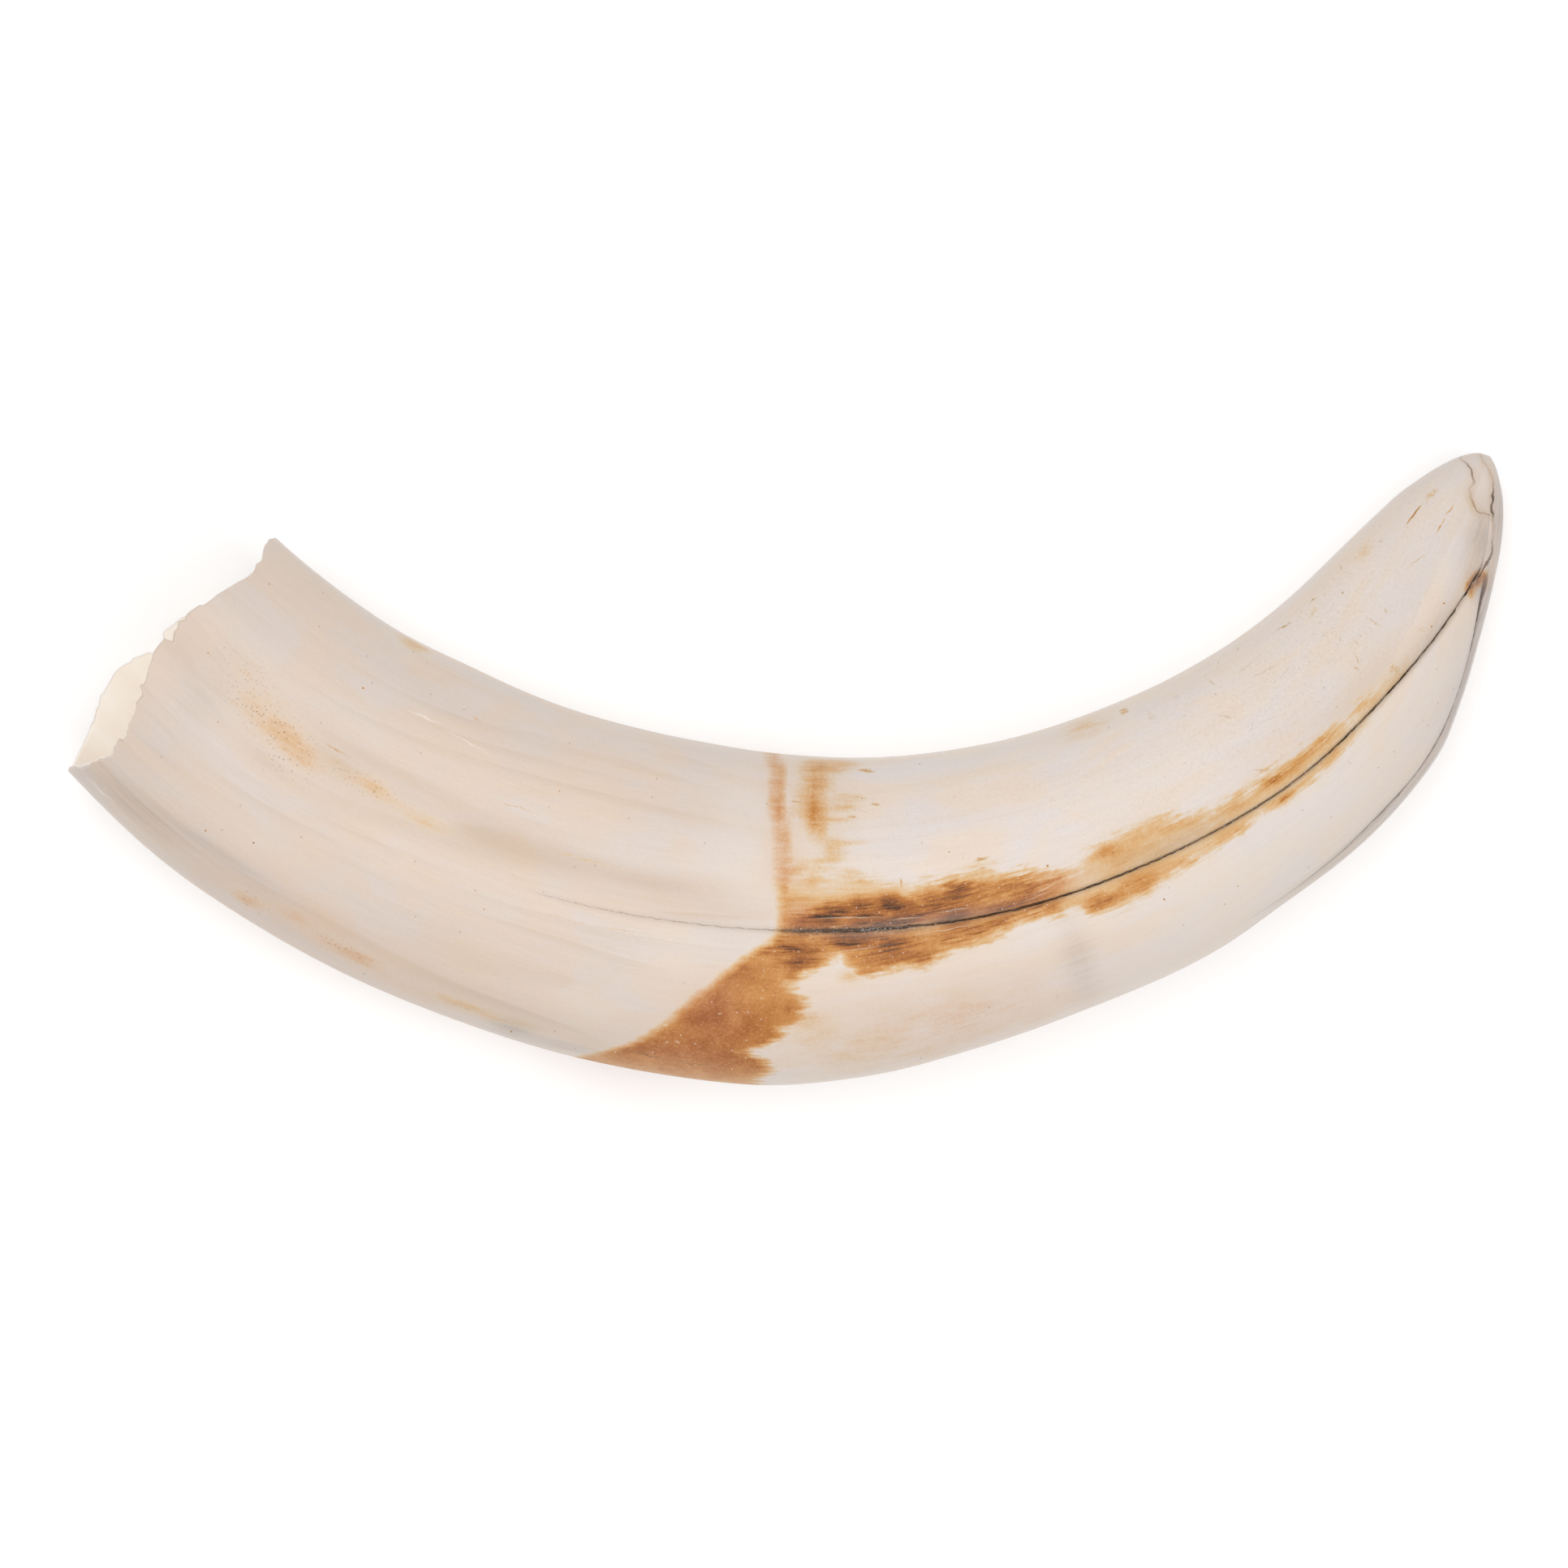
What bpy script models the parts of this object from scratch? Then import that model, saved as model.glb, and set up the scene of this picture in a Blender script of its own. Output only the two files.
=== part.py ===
"""An upper tusk of a warthog, lying on its side: one piece of ivory, hollow at its broken root.

The tusk is lofted from sections that stand on the spokes of its curl. A spoke's angle is 0 towards
-Y and grows towards +X, so the broken root is at negative angles and the tip at positive ones. Each
section is a rounded oval with two furrows, a hairline crack and a groove by its outer edge. A second
loft, from the broken rim inwards, is the hollow that held the pulp. Lengths are in millimetres and
angles in degrees, until a point is placed in metres.
"""

import math

import bmesh
import bpy
from mathutils import Vector

MM = 0.001

# Plan: the centre of the curl, and the two edges of the tusk as radii about it at some spokes.
CURL_CENTRE = Vector((4.1, 88.7))
TIP_ANGLE = 53.9
INNER_RADIUS = [
    (-44, 87.6), (-34, 87.35), (-26, 86.8), (-10, 86.8), (-3, 87.3), (10, 87.9), (30, 87.5),
    (44, 86.2), (47, 86.35), (50, 87.3), (52, 88.5), (53, 89.5), (53.6, 90.5), (TIP_ANGLE, 91.7),
]
OUTER_RADIUS = [
    (-44, 122.2), (-34, 123.35), (-20, 123.6), (-4, 124.1), (2, 123.1), (8, 121.0), (14, 119.2),
    (22, 117.3), (26, 115.8), (32, 113.9), (38, 110.9), (41, 107.9), (44, 104.6), (47, 101.5),
    (50, 98.4), (52, 95.8), (53, 94.0), (53.6, 92.7), (TIP_ANGLE, 91.7),
]

# Height: how thick the tusk is, and how far its underside would be above the surface it lies on.
# Where that is negative, its own weight has worn the underside flat.
THICKNESS = [
    (-44, 27.6), (-34, 28.4), (-16, 28.2), (0, 27.4), (12, 25.8), (24, 23.0), (34, 19.0), (41, 15.2),
    (46, 12.0), (50, 8.6), (52, 6.2), (53, 4.5), (53.6, 2.6), (TIP_ANGLE, 0),
]
UNDERSIDE = [
    (-44, -0.1), (-36, -0.65), (-20, 0.2), (-3, -0.4), (18, 0.6), (39, -0.3), (44, 0.3), (48, 1.5),
    (51, 3.1), (53, 4.6), (TIP_ANGLE, 6.0),
]
ROUNDNESS = 2.3
SMALL_HALF_WIDTH = 7.0  # where the tip is slimmer than this, its grooves shrink with it
EDGE_LIMIT = 0.995  # no line on the flank comes nearer to an edge than this share of the half width

# The hairline crack along the front flank: its radius, its depth and the half width of its lips.
CRACK_RADIUS = [
    (-44, 108.0), (-17, 107.3), (-4, 106.8), (10, 106.6), (19, 105.7), (29, 104.4), (38, 101.9),
    (44, 100.2), (47.6, 98.8), (49.3, 97.4), (50.9, 95.4), (52.5, 93.4), (TIP_ANGLE, 91.7),
]
CRACK_DEPTH = [(-17, 0), (-4, 0.3), (6, 0.45), (46, 0.45), (51, 0.3), (53, 0)]
CRACK_LIP = 0.45
LIP_SHARE = 0.3  # a lip takes at most this share of the flank beside it

# The groove by the outer edge: a soft gutter at the root, and a sharper one at the tip, where it
# parts a leaf-shaped panel from the edge and runs into the crack.
GUTTER_RADIUS = [
    (-44, 119.5), (-31, 119.8), (-10, 120.4), (10, 117.0), (26, 113.8), (33.7, 112.2), (38.6, 109.6),
    (42.2, 105.9), (46.4, 101.3), (47.6, 100.2), (50, 96.9), (52, 94.6), (TIP_ANGLE, 91.7),
]
GUTTER_DEPTH = [(-44, 0.6), (-31, 0.5), (-22, 0), (30, 0), (36, 0.45), (45, 0.55), (47.5, 0.3), (49, 0)]
GUTTER_LIP = 0.6
GUTTER_TO_CRACK = 1.5  # the crack lies at least this many times further round than the gutter

# The step at the end of the panel, in the corner between the crack and the gutter.
STEP_ANGLE = 46.9
STEP_LENGTH = 0.75
STEP_DEPTH = 0.5

# Broad furrows down the flanks: (radius, depth) stations, and how far each one spreads.
FRONT_FURROW_RADIUS = [(-44, 102.0), (-30, 102.9), (-15, 104.5), (-4, 105.6), (10, 106.2), (47, 98.8)]
FRONT_FURROW_DEPTH = [(-44, 0.7), (-15, 0.6), (5, 0.4), (30, 0.35), (44, 0.3), (48, 0)]
FRONT_FURROW_SPREAD = [(-44, 3.4), (-15, 3.0), (5, 1.9), (47, 1.3)]
BACK_FURROW_RADIUS = [(-44, 103.5), (-4, 104.2), (30, 101.0), (47, 95.0)]
BACK_FURROW_DEPTH = [(-44, 0.75), (-20, 0.6), (2, 0.25), (30, 0.2), (44, 0)]
BACK_FURROW_SPREAD = [(-44, 3.2), (47, 1.8)]

# The broken rim: the spoke that it reaches, by radius, on the front wall and on the back wall.
ROOT_ANGLE = -43.5
FRONT_RIM = [
    (87.6, -43.9), (88.2, -44.4), (88.8, -44.4), (90.6, -43.6), (92.4, -43.6), (98.7, -44.5),
    (101.2, -45.1), (103.0, -44.3), (104.4, -45.1), (106.4, -45.0), (109.7, -43.7), (115.6, -42.5),
    (118.8, -42.4), (121.1, -42.9), (122.0, -43.4),
]
BACK_RIM = [
    (87.6, -43.9), (90.0, -43.5), (95.0, -43.7), (99.0, -44.2), (102.5, -45.2), (104.5, -45.0),
    (106.8, -44.5), (108.8, -45.4), (112.4, -45.0), (114.8, -44.75), (117.0, -43.9), (120.2, -43.5),
    (122.0, -43.4),
]
RIM_STEPS = [(0, 1.0), (0.7, 0.8), (1.8, 0.45), (3.4, 0.15)]

# The hollow: its size at a spoke as a share of the section's own, from the rim to its far end.
HOLLOW_END_ANGLE = -5.7
HOLLOW_SHARE = [
    (-45, 0.945), (-42, 0.93), (-36, 0.87), (-28, 0.75), (-20, 0.58), (-13, 0.37), (-8, 0.17),
    (HOLLOW_END_ANGLE, 0.05),
]

# How closely the skin is faceted.
BODY_SPACING = 2.3
TIP_SPACING = 1.1
TIP_ZONE_ANGLE = 42.0
TIP_CLOSING_ANGLES = [52.3, 53.0, 53.5, 53.8]
HOLLOW_SPACING = 2.6
EDGE_FACETS = 2
PANEL_FACETS = 5
INNER_FACETS = 14
BACK_FACETS = 26
GUTTER_CORNER = EDGE_FACETS + 1
CRACK_CORNER = GUTTER_CORNER + 1 + PANEL_FACETS + 1


def along(stations, where):
    """Reads a value from (where, value) stations, on a smooth curve that never overshoots them."""
    places, values = zip(*stations)
    if where <= places[0]:
        return values[0]
    if where >= places[-1]:
        return values[-1]
    i = max(k for k in range(len(places) - 1) if places[k] <= where)
    runs = [b - a for a, b in zip(places, places[1:])]
    slopes = [(b - a) / run for a, b, run in zip(values, values[1:], runs)]

    def tangent(k):
        if k == 0 or k == len(slopes):
            return slopes[min(k, len(slopes) - 1)]
        before, after = slopes[k - 1], slopes[k]
        return 2 * before * after / (before + after) if before * after > 0 else 0.0

    t = (where - places[i]) / runs[i]
    start = (1 + 2 * t) * (1 - t) ** 2 * values[i] + t * (1 - t) ** 2 * runs[i] * tangent(i)
    end = t * t * (3 - 2 * t) * values[i + 1] - t * t * (1 - t) * runs[i] * tangent(i + 1)
    return start + end


def straight(stations, where):
    """Reads a value between stations on straight lines, for a broken edge with corners."""
    if where <= stations[0][0]:
        return stations[0][1]
    for (x0, y0), (x1, y1) in zip(stations, stations[1:]):
        if where <= x1:
            return y0 + (y1 - y0) * (where - x0) / (x1 - x0)
    return stations[-1][1]


def bump(distance, spread):
    """A rounded bump, 1 at no distance and nearly 0 at two spreads."""
    return math.exp(-((distance / spread) ** 2))


def half_sizes(angle):
    """The section's centre radius, half width, centre height and half thickness at a spoke."""
    inner, outer = along(INNER_RADIUS, angle), along(OUTER_RADIUS, angle)
    half_thickness = along(THICKNESS, angle) / 2
    middle = along(UNDERSIDE, angle) + half_thickness
    return (inner + outer) / 2, (outer - inner) / 2, middle, half_thickness


def turn_at_radius(angle, radius):
    """How far round the section a radius is met, from 0 at the outer edge to pi at the inner edge."""
    centre, half_width, _, _ = half_sizes(angle)
    across = max(-EDGE_LIMIT, min(EDGE_LIMIT, (radius - centre) / half_width))
    return math.acos(math.copysign(abs(across) ** (ROUNDNESS / 2), across))


def section_turns(angle):
    """The turns of the section's corners, which keep to the crack and the gutter all along the tusk."""
    _, half_width, _, half_thickness = half_sizes(angle)
    mean = math.sqrt(half_width * half_thickness)
    shrink = min(1.0, half_width / SMALL_HALF_WIDTH)
    gutter = turn_at_radius(angle, along(GUTTER_RADIUS, angle))
    crack = max(turn_at_radius(angle, along(CRACK_RADIUS, angle)), gutter * GUTTER_TO_CRACK)
    gutter_lip = min(GUTTER_LIP * shrink / mean, LIP_SHARE * gutter)
    crack_lip = min(CRACK_LIP * shrink / mean, LIP_SHARE * (crack - gutter))
    spans = [
        (0, gutter - gutter_lip, EDGE_FACETS),
        (gutter - gutter_lip, gutter, 1),
        (gutter, gutter + gutter_lip, 1),
        (gutter + gutter_lip, crack - crack_lip, PANEL_FACETS),
        (crack - crack_lip, crack, 1),
        (crack, crack + crack_lip, 1),
        (crack + crack_lip, math.pi, INNER_FACETS),
        (math.pi, 2 * math.pi, BACK_FACETS),
    ]
    return [start + (end - start) * k / facets for start, end, facets in spans for k in range(facets)]


def skin_section(angle, with_lines):
    """One section's corners as (radius, height); the hollow takes them without the crack and gutter."""
    centre, half_width, middle, half_thickness = half_sizes(angle)
    shrink = min(1.0, half_width / SMALL_HALF_WIDTH)
    corners = []
    for corner, turn in enumerate(section_turns(angle)):
        c, s = math.cos(turn), math.sin(turn)
        across = math.copysign(abs(c) ** (2 / ROUNDNESS), c)
        up = math.copysign(abs(s) ** (2 / ROUNDNESS), s)
        outward = Vector((
            math.copysign(abs(across) ** (ROUNDNESS - 1), across) / half_width,
            math.copysign(abs(up) ** (ROUNDNESS - 1), up) / half_thickness,
        )).normalized()
        radius = centre + half_width * across
        if turn < math.pi:
            furrow = along(FRONT_FURROW_DEPTH, angle) * bump(
                radius - along(FRONT_FURROW_RADIUS, angle), along(FRONT_FURROW_SPREAD, angle))
        else:
            furrow = along(BACK_FURROW_DEPTH, angle) * bump(
                radius - along(BACK_FURROW_RADIUS, angle), along(BACK_FURROW_SPREAD, angle))
        depth = furrow * abs(up)
        if with_lines and corner == CRACK_CORNER:
            depth += along(CRACK_DEPTH, angle)
        if with_lines and corner == GUTTER_CORNER:
            depth += along(GUTTER_DEPTH, angle)
        if with_lines and GUTTER_CORNER < corner < CRACK_CORNER:
            depth += STEP_DEPTH * bump(angle - STEP_ANGLE, STEP_LENGTH)
        point = Vector((radius, middle + half_thickness * up)) - outward * depth * shrink
        corners.append(point)
    return corners


def rim_reach(radius, corner, corners_round):
    """How far beyond the root's own spoke the broken rim reaches at one corner, in degrees."""
    rim = BACK_RIM if corner > corners_round - BACK_FACETS else FRONT_RIM
    return straight(rim, radius) - ROOT_ANGLE


def place(angle, radius, height):
    """A point on a spoke, in metres. What would lie under the surface is worn flat on it."""
    spoke = math.radians(angle)
    plan = CURL_CENTRE + radius * Vector((math.sin(spoke), -math.cos(spoke)))
    return Vector((plan.x, plan.y, max(height, 0.0))) * MM


def skin_rings():
    """The outer skin's rings of points, from the broken rim to the last section before the tip."""
    rings = []
    for step, hold in RIM_STEPS:
        corners = skin_section(ROOT_ANGLE + step, True)
        rings.append([
            place(ROOT_ANGLE + step + hold * rim_reach(p.x, k, len(corners)), p.x, p.y)
            for k, p in enumerate(corners)
        ])
    spans = [
        (ROOT_ANGLE + RIM_STEPS[-1][0] + BODY_SPACING, TIP_ZONE_ANGLE, BODY_SPACING),
        (TIP_ZONE_ANGLE, TIP_CLOSING_ANGLES[0], TIP_SPACING),
    ]
    angles = []
    for start, end, spacing in spans:
        count = round((end - start) / spacing)
        angles += [start + (end - start) * k / count for k in range(count)]
    for angle in angles + TIP_CLOSING_ANGLES:
        rings.append([place(angle, p.x, p.y) for p in skin_section(angle, True)])
    return rings


def hollow_rings():
    """The hollow's rings, from the broken rim to its far end, each a smaller copy of the skin there."""
    steps = list(RIM_STEPS)
    start = ROOT_ANGLE + RIM_STEPS[-1][0]
    count = round((HOLLOW_END_ANGLE - start) / HOLLOW_SPACING)
    steps += [((HOLLOW_END_ANGLE - start) * k / count + start - ROOT_ANGLE, 0) for k in range(1, count)]
    rings = []
    for step, hold in steps:
        angle = ROOT_ANGLE + step
        centre, _, middle, _ = half_sizes(angle)
        share = along(HOLLOW_SHARE, angle)
        corners = skin_section(angle, False)
        ring = []
        for k, p in enumerate(corners):
            reach = hold * rim_reach(p.x, k, len(corners))
            radius = centre + (p.x - centre) * share
            height = middle + (max(p.y, 0.0) - middle) * share
            ring.append(place(angle + reach, radius, height))
        rings.append(ring)
    return rings


def bridge(bm, first, second):
    """Joins two rings of vertices with a band of faces."""
    for k in range(len(first)):
        after = (k + 1) % len(first)
        bm.faces.new((first[k], first[after], second[after], second[k]))


def close(bm, ring, point):
    """Closes a ring with a fan of faces to one point."""
    tip = bm.verts.new(point)
    for k in range(len(ring)):
        bm.faces.new((ring[k], ring[(k + 1) % len(ring)], tip))


def end_point(angle):
    centre, _, middle, _ = half_sizes(angle)
    return place(angle, centre, middle)


def build_tusk():
    """Lofts the skin and the hollow, and joins them across the thin broken rim."""
    bm = bmesh.new()
    skin = [[bm.verts.new(p) for p in ring] for ring in skin_rings()]
    hollow = [[bm.verts.new(p) for p in ring] for ring in hollow_rings()]
    for ring, after in zip(skin, skin[1:]):
        bridge(bm, ring, after)
    for ring, after in zip(hollow, hollow[1:]):
        bridge(bm, after, ring)
    bridge(bm, hollow[0], skin[0])
    close(bm, skin[-1], end_point(TIP_ANGLE))
    close(bm, list(reversed(hollow[-1])), end_point(HOLLOW_END_ANGLE))
    bmesh.ops.recalc_face_normals(bm, faces=bm.faces)
    mesh = bpy.data.meshes.new("warthog_tusk")
    bm.to_mesh(mesh)
    bm.free()
    mesh.shade_smooth()
    mesh.set_sharp_from_angle(angle=math.radians(40))
    return mesh


def ivory():
    """Old ivory: cream, with a soft polish."""
    material = bpy.data.materials.new("ivory")
    material.use_nodes = True
    shader = material.node_tree.nodes["Principled BSDF"]
    shader.inputs["Base Color"].default_value = (0.78, 0.68, 0.57, 1.0)
    shader.inputs["Roughness"].default_value = 0.35
    shader.inputs["Metallic"].default_value = 0.0
    return material


for leftover in list(bpy.data.objects):
    bpy.data.objects.remove(leftover, do_unlink=True)

tusk = bpy.data.objects.new("warthog_tusk", build_tusk())
tusk.data.materials.append(ivory())
bpy.context.collection.objects.link(tusk)
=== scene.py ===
import math

import bpy
import numpy as np
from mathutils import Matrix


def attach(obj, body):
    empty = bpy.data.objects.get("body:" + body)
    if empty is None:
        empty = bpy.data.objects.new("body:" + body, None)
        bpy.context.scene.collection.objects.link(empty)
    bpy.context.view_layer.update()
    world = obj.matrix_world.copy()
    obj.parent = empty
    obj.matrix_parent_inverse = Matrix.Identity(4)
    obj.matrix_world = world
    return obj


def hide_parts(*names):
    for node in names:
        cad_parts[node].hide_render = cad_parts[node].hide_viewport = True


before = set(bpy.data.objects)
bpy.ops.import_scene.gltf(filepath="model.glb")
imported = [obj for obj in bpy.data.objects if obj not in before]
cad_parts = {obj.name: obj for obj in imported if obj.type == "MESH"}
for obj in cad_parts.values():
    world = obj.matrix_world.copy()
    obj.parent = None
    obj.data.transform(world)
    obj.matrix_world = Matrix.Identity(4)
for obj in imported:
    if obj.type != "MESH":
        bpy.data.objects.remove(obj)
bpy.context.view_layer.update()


# ---- The tusk: its form --------------------------------------------------------------------------
# A warthog's upper tusk: one tooth of solid dentine that grew in a curve, oval across, hollow and
# broken thin at its root, and worn to a leaf-shaped panel at its tip. The sections of the solid are
# subdivided, eased back onto the curves that they were lofted on, and given the fine broken edge.
MM = 0.001
CURL_CENTRE = (4.1, 88.7)
# Curves in mm, read at spokes in degrees from straight down round the centre of the curl.
INNER_RADIUS = [
    (-44, 87.6), (-34, 87.35), (-26, 86.8), (-10, 86.8), (-3, 87.3), (10, 87.9), (30, 87.5), (44, 86.2),
    (47, 86.35), (50, 87.3), (52, 88.5), (53, 89.5), (53.6, 90.5), (53.9, 91.7),
]
OUTER_RADIUS = [
    (-44, 122.2), (-34, 123.35), (-20, 123.6), (-4, 124.1), (2, 123.1), (8, 121), (14, 119.2), (22, 117.3),
    (26, 115.8), (32, 113.9), (38, 110.9), (41, 107.9), (44, 104.6), (47, 101.5), (50, 98.4), (52, 95.8),
    (53, 94), (53.6, 92.7), (53.9, 91.7),
]
THICKNESS = [
    (-44, 27.6), (-34, 28.4), (-16, 28.2), (0, 27.4), (12, 25.8), (24, 23), (34, 19), (41, 15.2), (46, 12),
    (50, 8.6), (52, 6.2), (53, 4.5), (53.6, 2.6), (53.9, 0),
]
UNDERSIDE = [
    (-44, -0.1), (-36, -0.65), (-20, 0.2), (-3, -0.4), (18, 0.6), (39, -0.3), (44, 0.3), (48, 1.5),
    (51, 3.1), (53, 4.6), (53.9, 6),
]
LEAST_HALF_SIZE = 0.01  # so that the sections at the very tip don't vanish
ROUNDNESS = 2.3  # the power of the sections' ovals, which are a little squarer than an ellipse
HOLLOW_END = -5.5  # the spoke at which the hollow has closed
HOLLOW_LIMIT = 0.955  # of the way out to the skin: what lies nearer the middle is the hollow's wall
HOLLOW_SHARE = [
    (-45, 0.965), (-43.5, 0.95), (-42, 0.93), (-36, 0.87), (-28, 0.75), (-20, 0.58), (-13, 0.37),
    (-8, 0.17), (-5.7, 0.05),
]
CRACK_RADIUS = [
    (-44, 108), (-17, 107.3), (-4, 106.8), (10, 106.6), (19, 105.7), (29, 104.4), (38, 101.9), (44, 100.2),
    (47.6, 98.8), (49.3, 97.4), (50.9, 95.4), (52.5, 93.4), (53.9, 91.7),
]
CRACK_DEPTH = [
    (-17, 0), (-4, 0.05), (4, 0.12), (10, 0.28), (20, 0.35), (45, 0.4), (48, 0.25), (52, 0.15), (53.9, 0),
]
GUTTER_RADIUS = [
    (-44, 119.5), (-31, 119.8), (-10, 120.4), (10, 117.5), (24, 115.5), (29.7, 113.9), (33.5, 112.4),
    (36.1, 111.3), (38.6, 109.6), (41, 107.3), (43.8, 104.2), (46.3, 101.3), (47.6, 100), (50, 97.6),
    (52, 95.2), (53.9, 91.7),
]
GUTTER_DEPTH = [
    (-44, 0.32), (-38, 0.22), (-33, 0.07), (-28, 0), (22, 0), (28, 0.12), (34, 0.35), (39, 0.5), (45, 0.6),
    (47.5, 0.35), (49, 0),
]
# The broad furrows down the two flanks: where, how deep and how wide.
FRONT_FURROW = [
    (-44, 102, 0.7, 3.4), (-30, 102.9, 0.65, 3.2), (-15, 104.5, 0.6, 3), (-4, 105.6, 0.45, 2.3),
    (10, 106.2, 0.4, 1.9), (30, 103, 0.35, 1.6), (44, 100, 0.3, 1.4), (48, 98.5, 0, 1.3),
]
BACK_FURROW = [
    (-44, 103.5, 0.75, 3.2), (-20, 104, 0.6, 2.8), (2, 103.8, 0.25, 2.5), (30, 101, 0.2, 2.1),
    (44, 96.5, 0, 1.8),
]
# The broken edge, as (radius, spoke) along the near wall and along the far wall: first as the solid
# has it, and then with its small teeth and chips.
NEAR_SOLID = [
    (87.6, -43.9), (88.2, -44.4), (88.8, -44.4), (90.6, -43.6), (92.4, -43.6), (98.7, -44.5),
    (101.2, -45.1), (103, -44.3), (104.4, -45.1), (106.4, -45), (109.7, -43.7), (115.6, -42.5),
    (118.8, -42.4), (121.1, -42.9), (122, -43.4),
]
FAR_SOLID = [
    (87.6, -43.9), (90, -43.5), (95, -43.7), (99, -44.2), (102.5, -45.2), (104.5, -45), (106.8, -44.5),
    (108.8, -45.4), (112.4, -45), (114.8, -44.75), (117, -43.9), (120.2, -43.5), (122, -43.4),
]
NEAR_TEETH = [
    (87.4, -43.9), (87.9, -44.2), (88.4, -44.35), (89.3, -43.9), (90.6, -43.2), (91.3, -43.45),
    (92.3, -43.2), (94.1, -43.6), (96.7, -44), (98.6, -44.1), (98.9, -44.3), (100.6, -44.7), (101.8, -44.6),
    (102.4, -44.05), (103, -43.7), (103.8, -43.75), (104.2, -44.55), (106.2, -44.5), (106.7, -44.25),
    (107.6, -43.9), (109.2, -43.4), (109.6, -43.5), (110.2, -43), (111.3, -43.05), (112.1, -42.75),
    (113.7, -42.5), (115.3, -42.1), (115.5, -42.35), (116.9, -42.2), (117.2, -42.05), (118.8, -42.3),
    (120.7, -42.7), (121.8, -43.3),
]
FAR_TEETH = [
    (87.4, -43.9), (90, -43.5), (95, -43.7), (99, -44.2), (101.5, -44.9), (102.4, -45.1), (104.2, -45.1),
    (105, -44.2), (106.4, -44.2), (107.1, -44.6), (108.5, -45.45), (109.6, -45.45), (110.9, -45.4),
    (112.5, -45.15), (113.3, -45.05), (113.8, -45.1), (115.2, -44.8), (116.4, -44.35), (117.7, -44.05),
    (119.3, -43.8), (121.1, -43.45), (121.9, -43.35),
]
EDGE_FADE = 2.4  # degrees from the broken edge to where its teeth are no longer felt
JAG = 0.05  # degrees by which the near wall's outer half is jagged between its teeth
EDGE_ZONE = 1.3  # degrees from the broken edge that are meshed more finely
CRACK_ZONE = 0.7  # mm either side of the crack and of the gutter that are, between these spokes
CRACK_START, GUTTER_START, FINE_END = -18, 25, 44
NOTCH_DEPTH = 0.5  # how far the panel dips where the crack meets the gutter
FLUTES, FLUTE_DEPTH, SWELLING_DEPTH = 9, 0.035, 0.03
# Shallow dents that an eye finds as soft shades: place, reach and depth.
DENTS = [
    (77, 26.2, 1.5, 0.28), (33, -21.5, 2.6, 0.1), (-30, -28.6, 1.6, 0.12), (75.6, 31.2, 1, 0.12),
]


def along(stations, where, column=1):
    """Reads a column of stations at places on a smooth curve that never overshoots them."""
    table = np.array(stations, float)
    places, values = table[:, 0], table[:, column]
    runs = np.diff(places)
    slopes = np.diff(values) / runs
    before, after = slopes[:-1], slopes[1:]
    same_way = before * after > 0
    mean = 2 * before * after / np.where(same_way, before + after, 1)
    tangents = np.concatenate([slopes[:1], np.where(same_way, mean, 0), slopes[-1:]])
    where = np.clip(where, places[0], places[-1])
    i = np.clip(np.searchsorted(places, where, side="right") - 1, 0, len(runs) - 1)
    t = (where - places[i]) / runs[i]
    start = (1 + 2 * t) * (1 - t) ** 2 * values[i] + t * (1 - t) ** 2 * runs[i] * tangents[i]
    return start + t * t * (3 - 2 * t) * values[i + 1] - t * t * (1 - t) * runs[i] * tangents[i + 1]


def straight(stations, where):
    """Reads stations at places on straight lines, for an edge with corners."""
    return np.interp(where, *np.array(stations, float).T)


def ease(value):
    """0 up to 0, 1 from 1 on, and a soft S between."""
    value = np.clip(value, 0, 1)
    return value * value * (3 - 2 * value)


def bump(distance, spread):
    """A rounded bump, 1 at no distance and nearly 0 at two spreads."""
    return np.exp(-((distance / spread) ** 2))


def power(value, exponent):
    """A power that keeps the sign."""
    return np.copysign(np.abs(value) ** exponent, value)


def half_sizes(spoke):
    """A section's centre radius, half width, middle height and half thickness."""
    paler_and_lit_wall, outer, thickness = [along(curve, spoke) for curve in (INNER_RADIUS, OUTER_RADIUS, THICKNESS)]
    half_width = np.maximum((outer - paler_and_lit_wall) / 2, LEAST_HALF_SIZE)
    half_thickness = np.maximum(thickness / 2, LEAST_HALF_SIZE)
    return (paler_and_lit_wall + outer) / 2, half_width, along(UNDERSIDE, spoke) + thickness / 2, half_thickness


def oval(spoke, turn):
    """A point of the bare section, as radius and height, and the way that its skin faces."""
    centre, half_width, middle, half_thickness = half_sizes(spoke)
    across, up = power(np.cos(turn), 2 / ROUNDNESS), power(np.sin(turn), 2 / ROUNDNESS)
    facing = np.stack([power(across, ROUNDNESS - 1) / half_width, power(up, ROUNDNESS - 1) / half_thickness])
    facing /= np.hypot(*facing)
    return centre + half_width * across, middle + half_thickness * up, facing


def turn_of(spoke, radius):
    """How far round the near side a radius is met, from 0 at the outer edge to pi at the inner."""
    centre, half_width, _, _ = half_sizes(spoke)
    across = np.clip((radius - centre) / half_width, -0.995, 0.995)
    return np.arccos(power(across, ROUNDNESS / 2))


def from_line(spoke, turn, line_turn):
    """Distance over the skin from a line along the near side, in mm, positive towards the outer edge."""
    radius, height, _ = oval(spoke, turn)
    line_radius, line_height, _ = oval(spoke, line_turn)
    return np.hypot(radius - line_radius, height - line_height) * np.sign(line_turn - turn)


def line_distances(spoke, turn):
    """Distances over the near side's skin from the crack and from the gutter, in mm."""
    gutter_turn = turn_of(spoke, along(GUTTER_RADIUS, spoke))
    crack_turn = np.maximum(turn_of(spoke, along(CRACK_RADIUS, spoke)), gutter_turn * 1.5)
    return from_line(spoke, turn, crack_turn), from_line(spoke, turn, gutter_turn)


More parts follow.
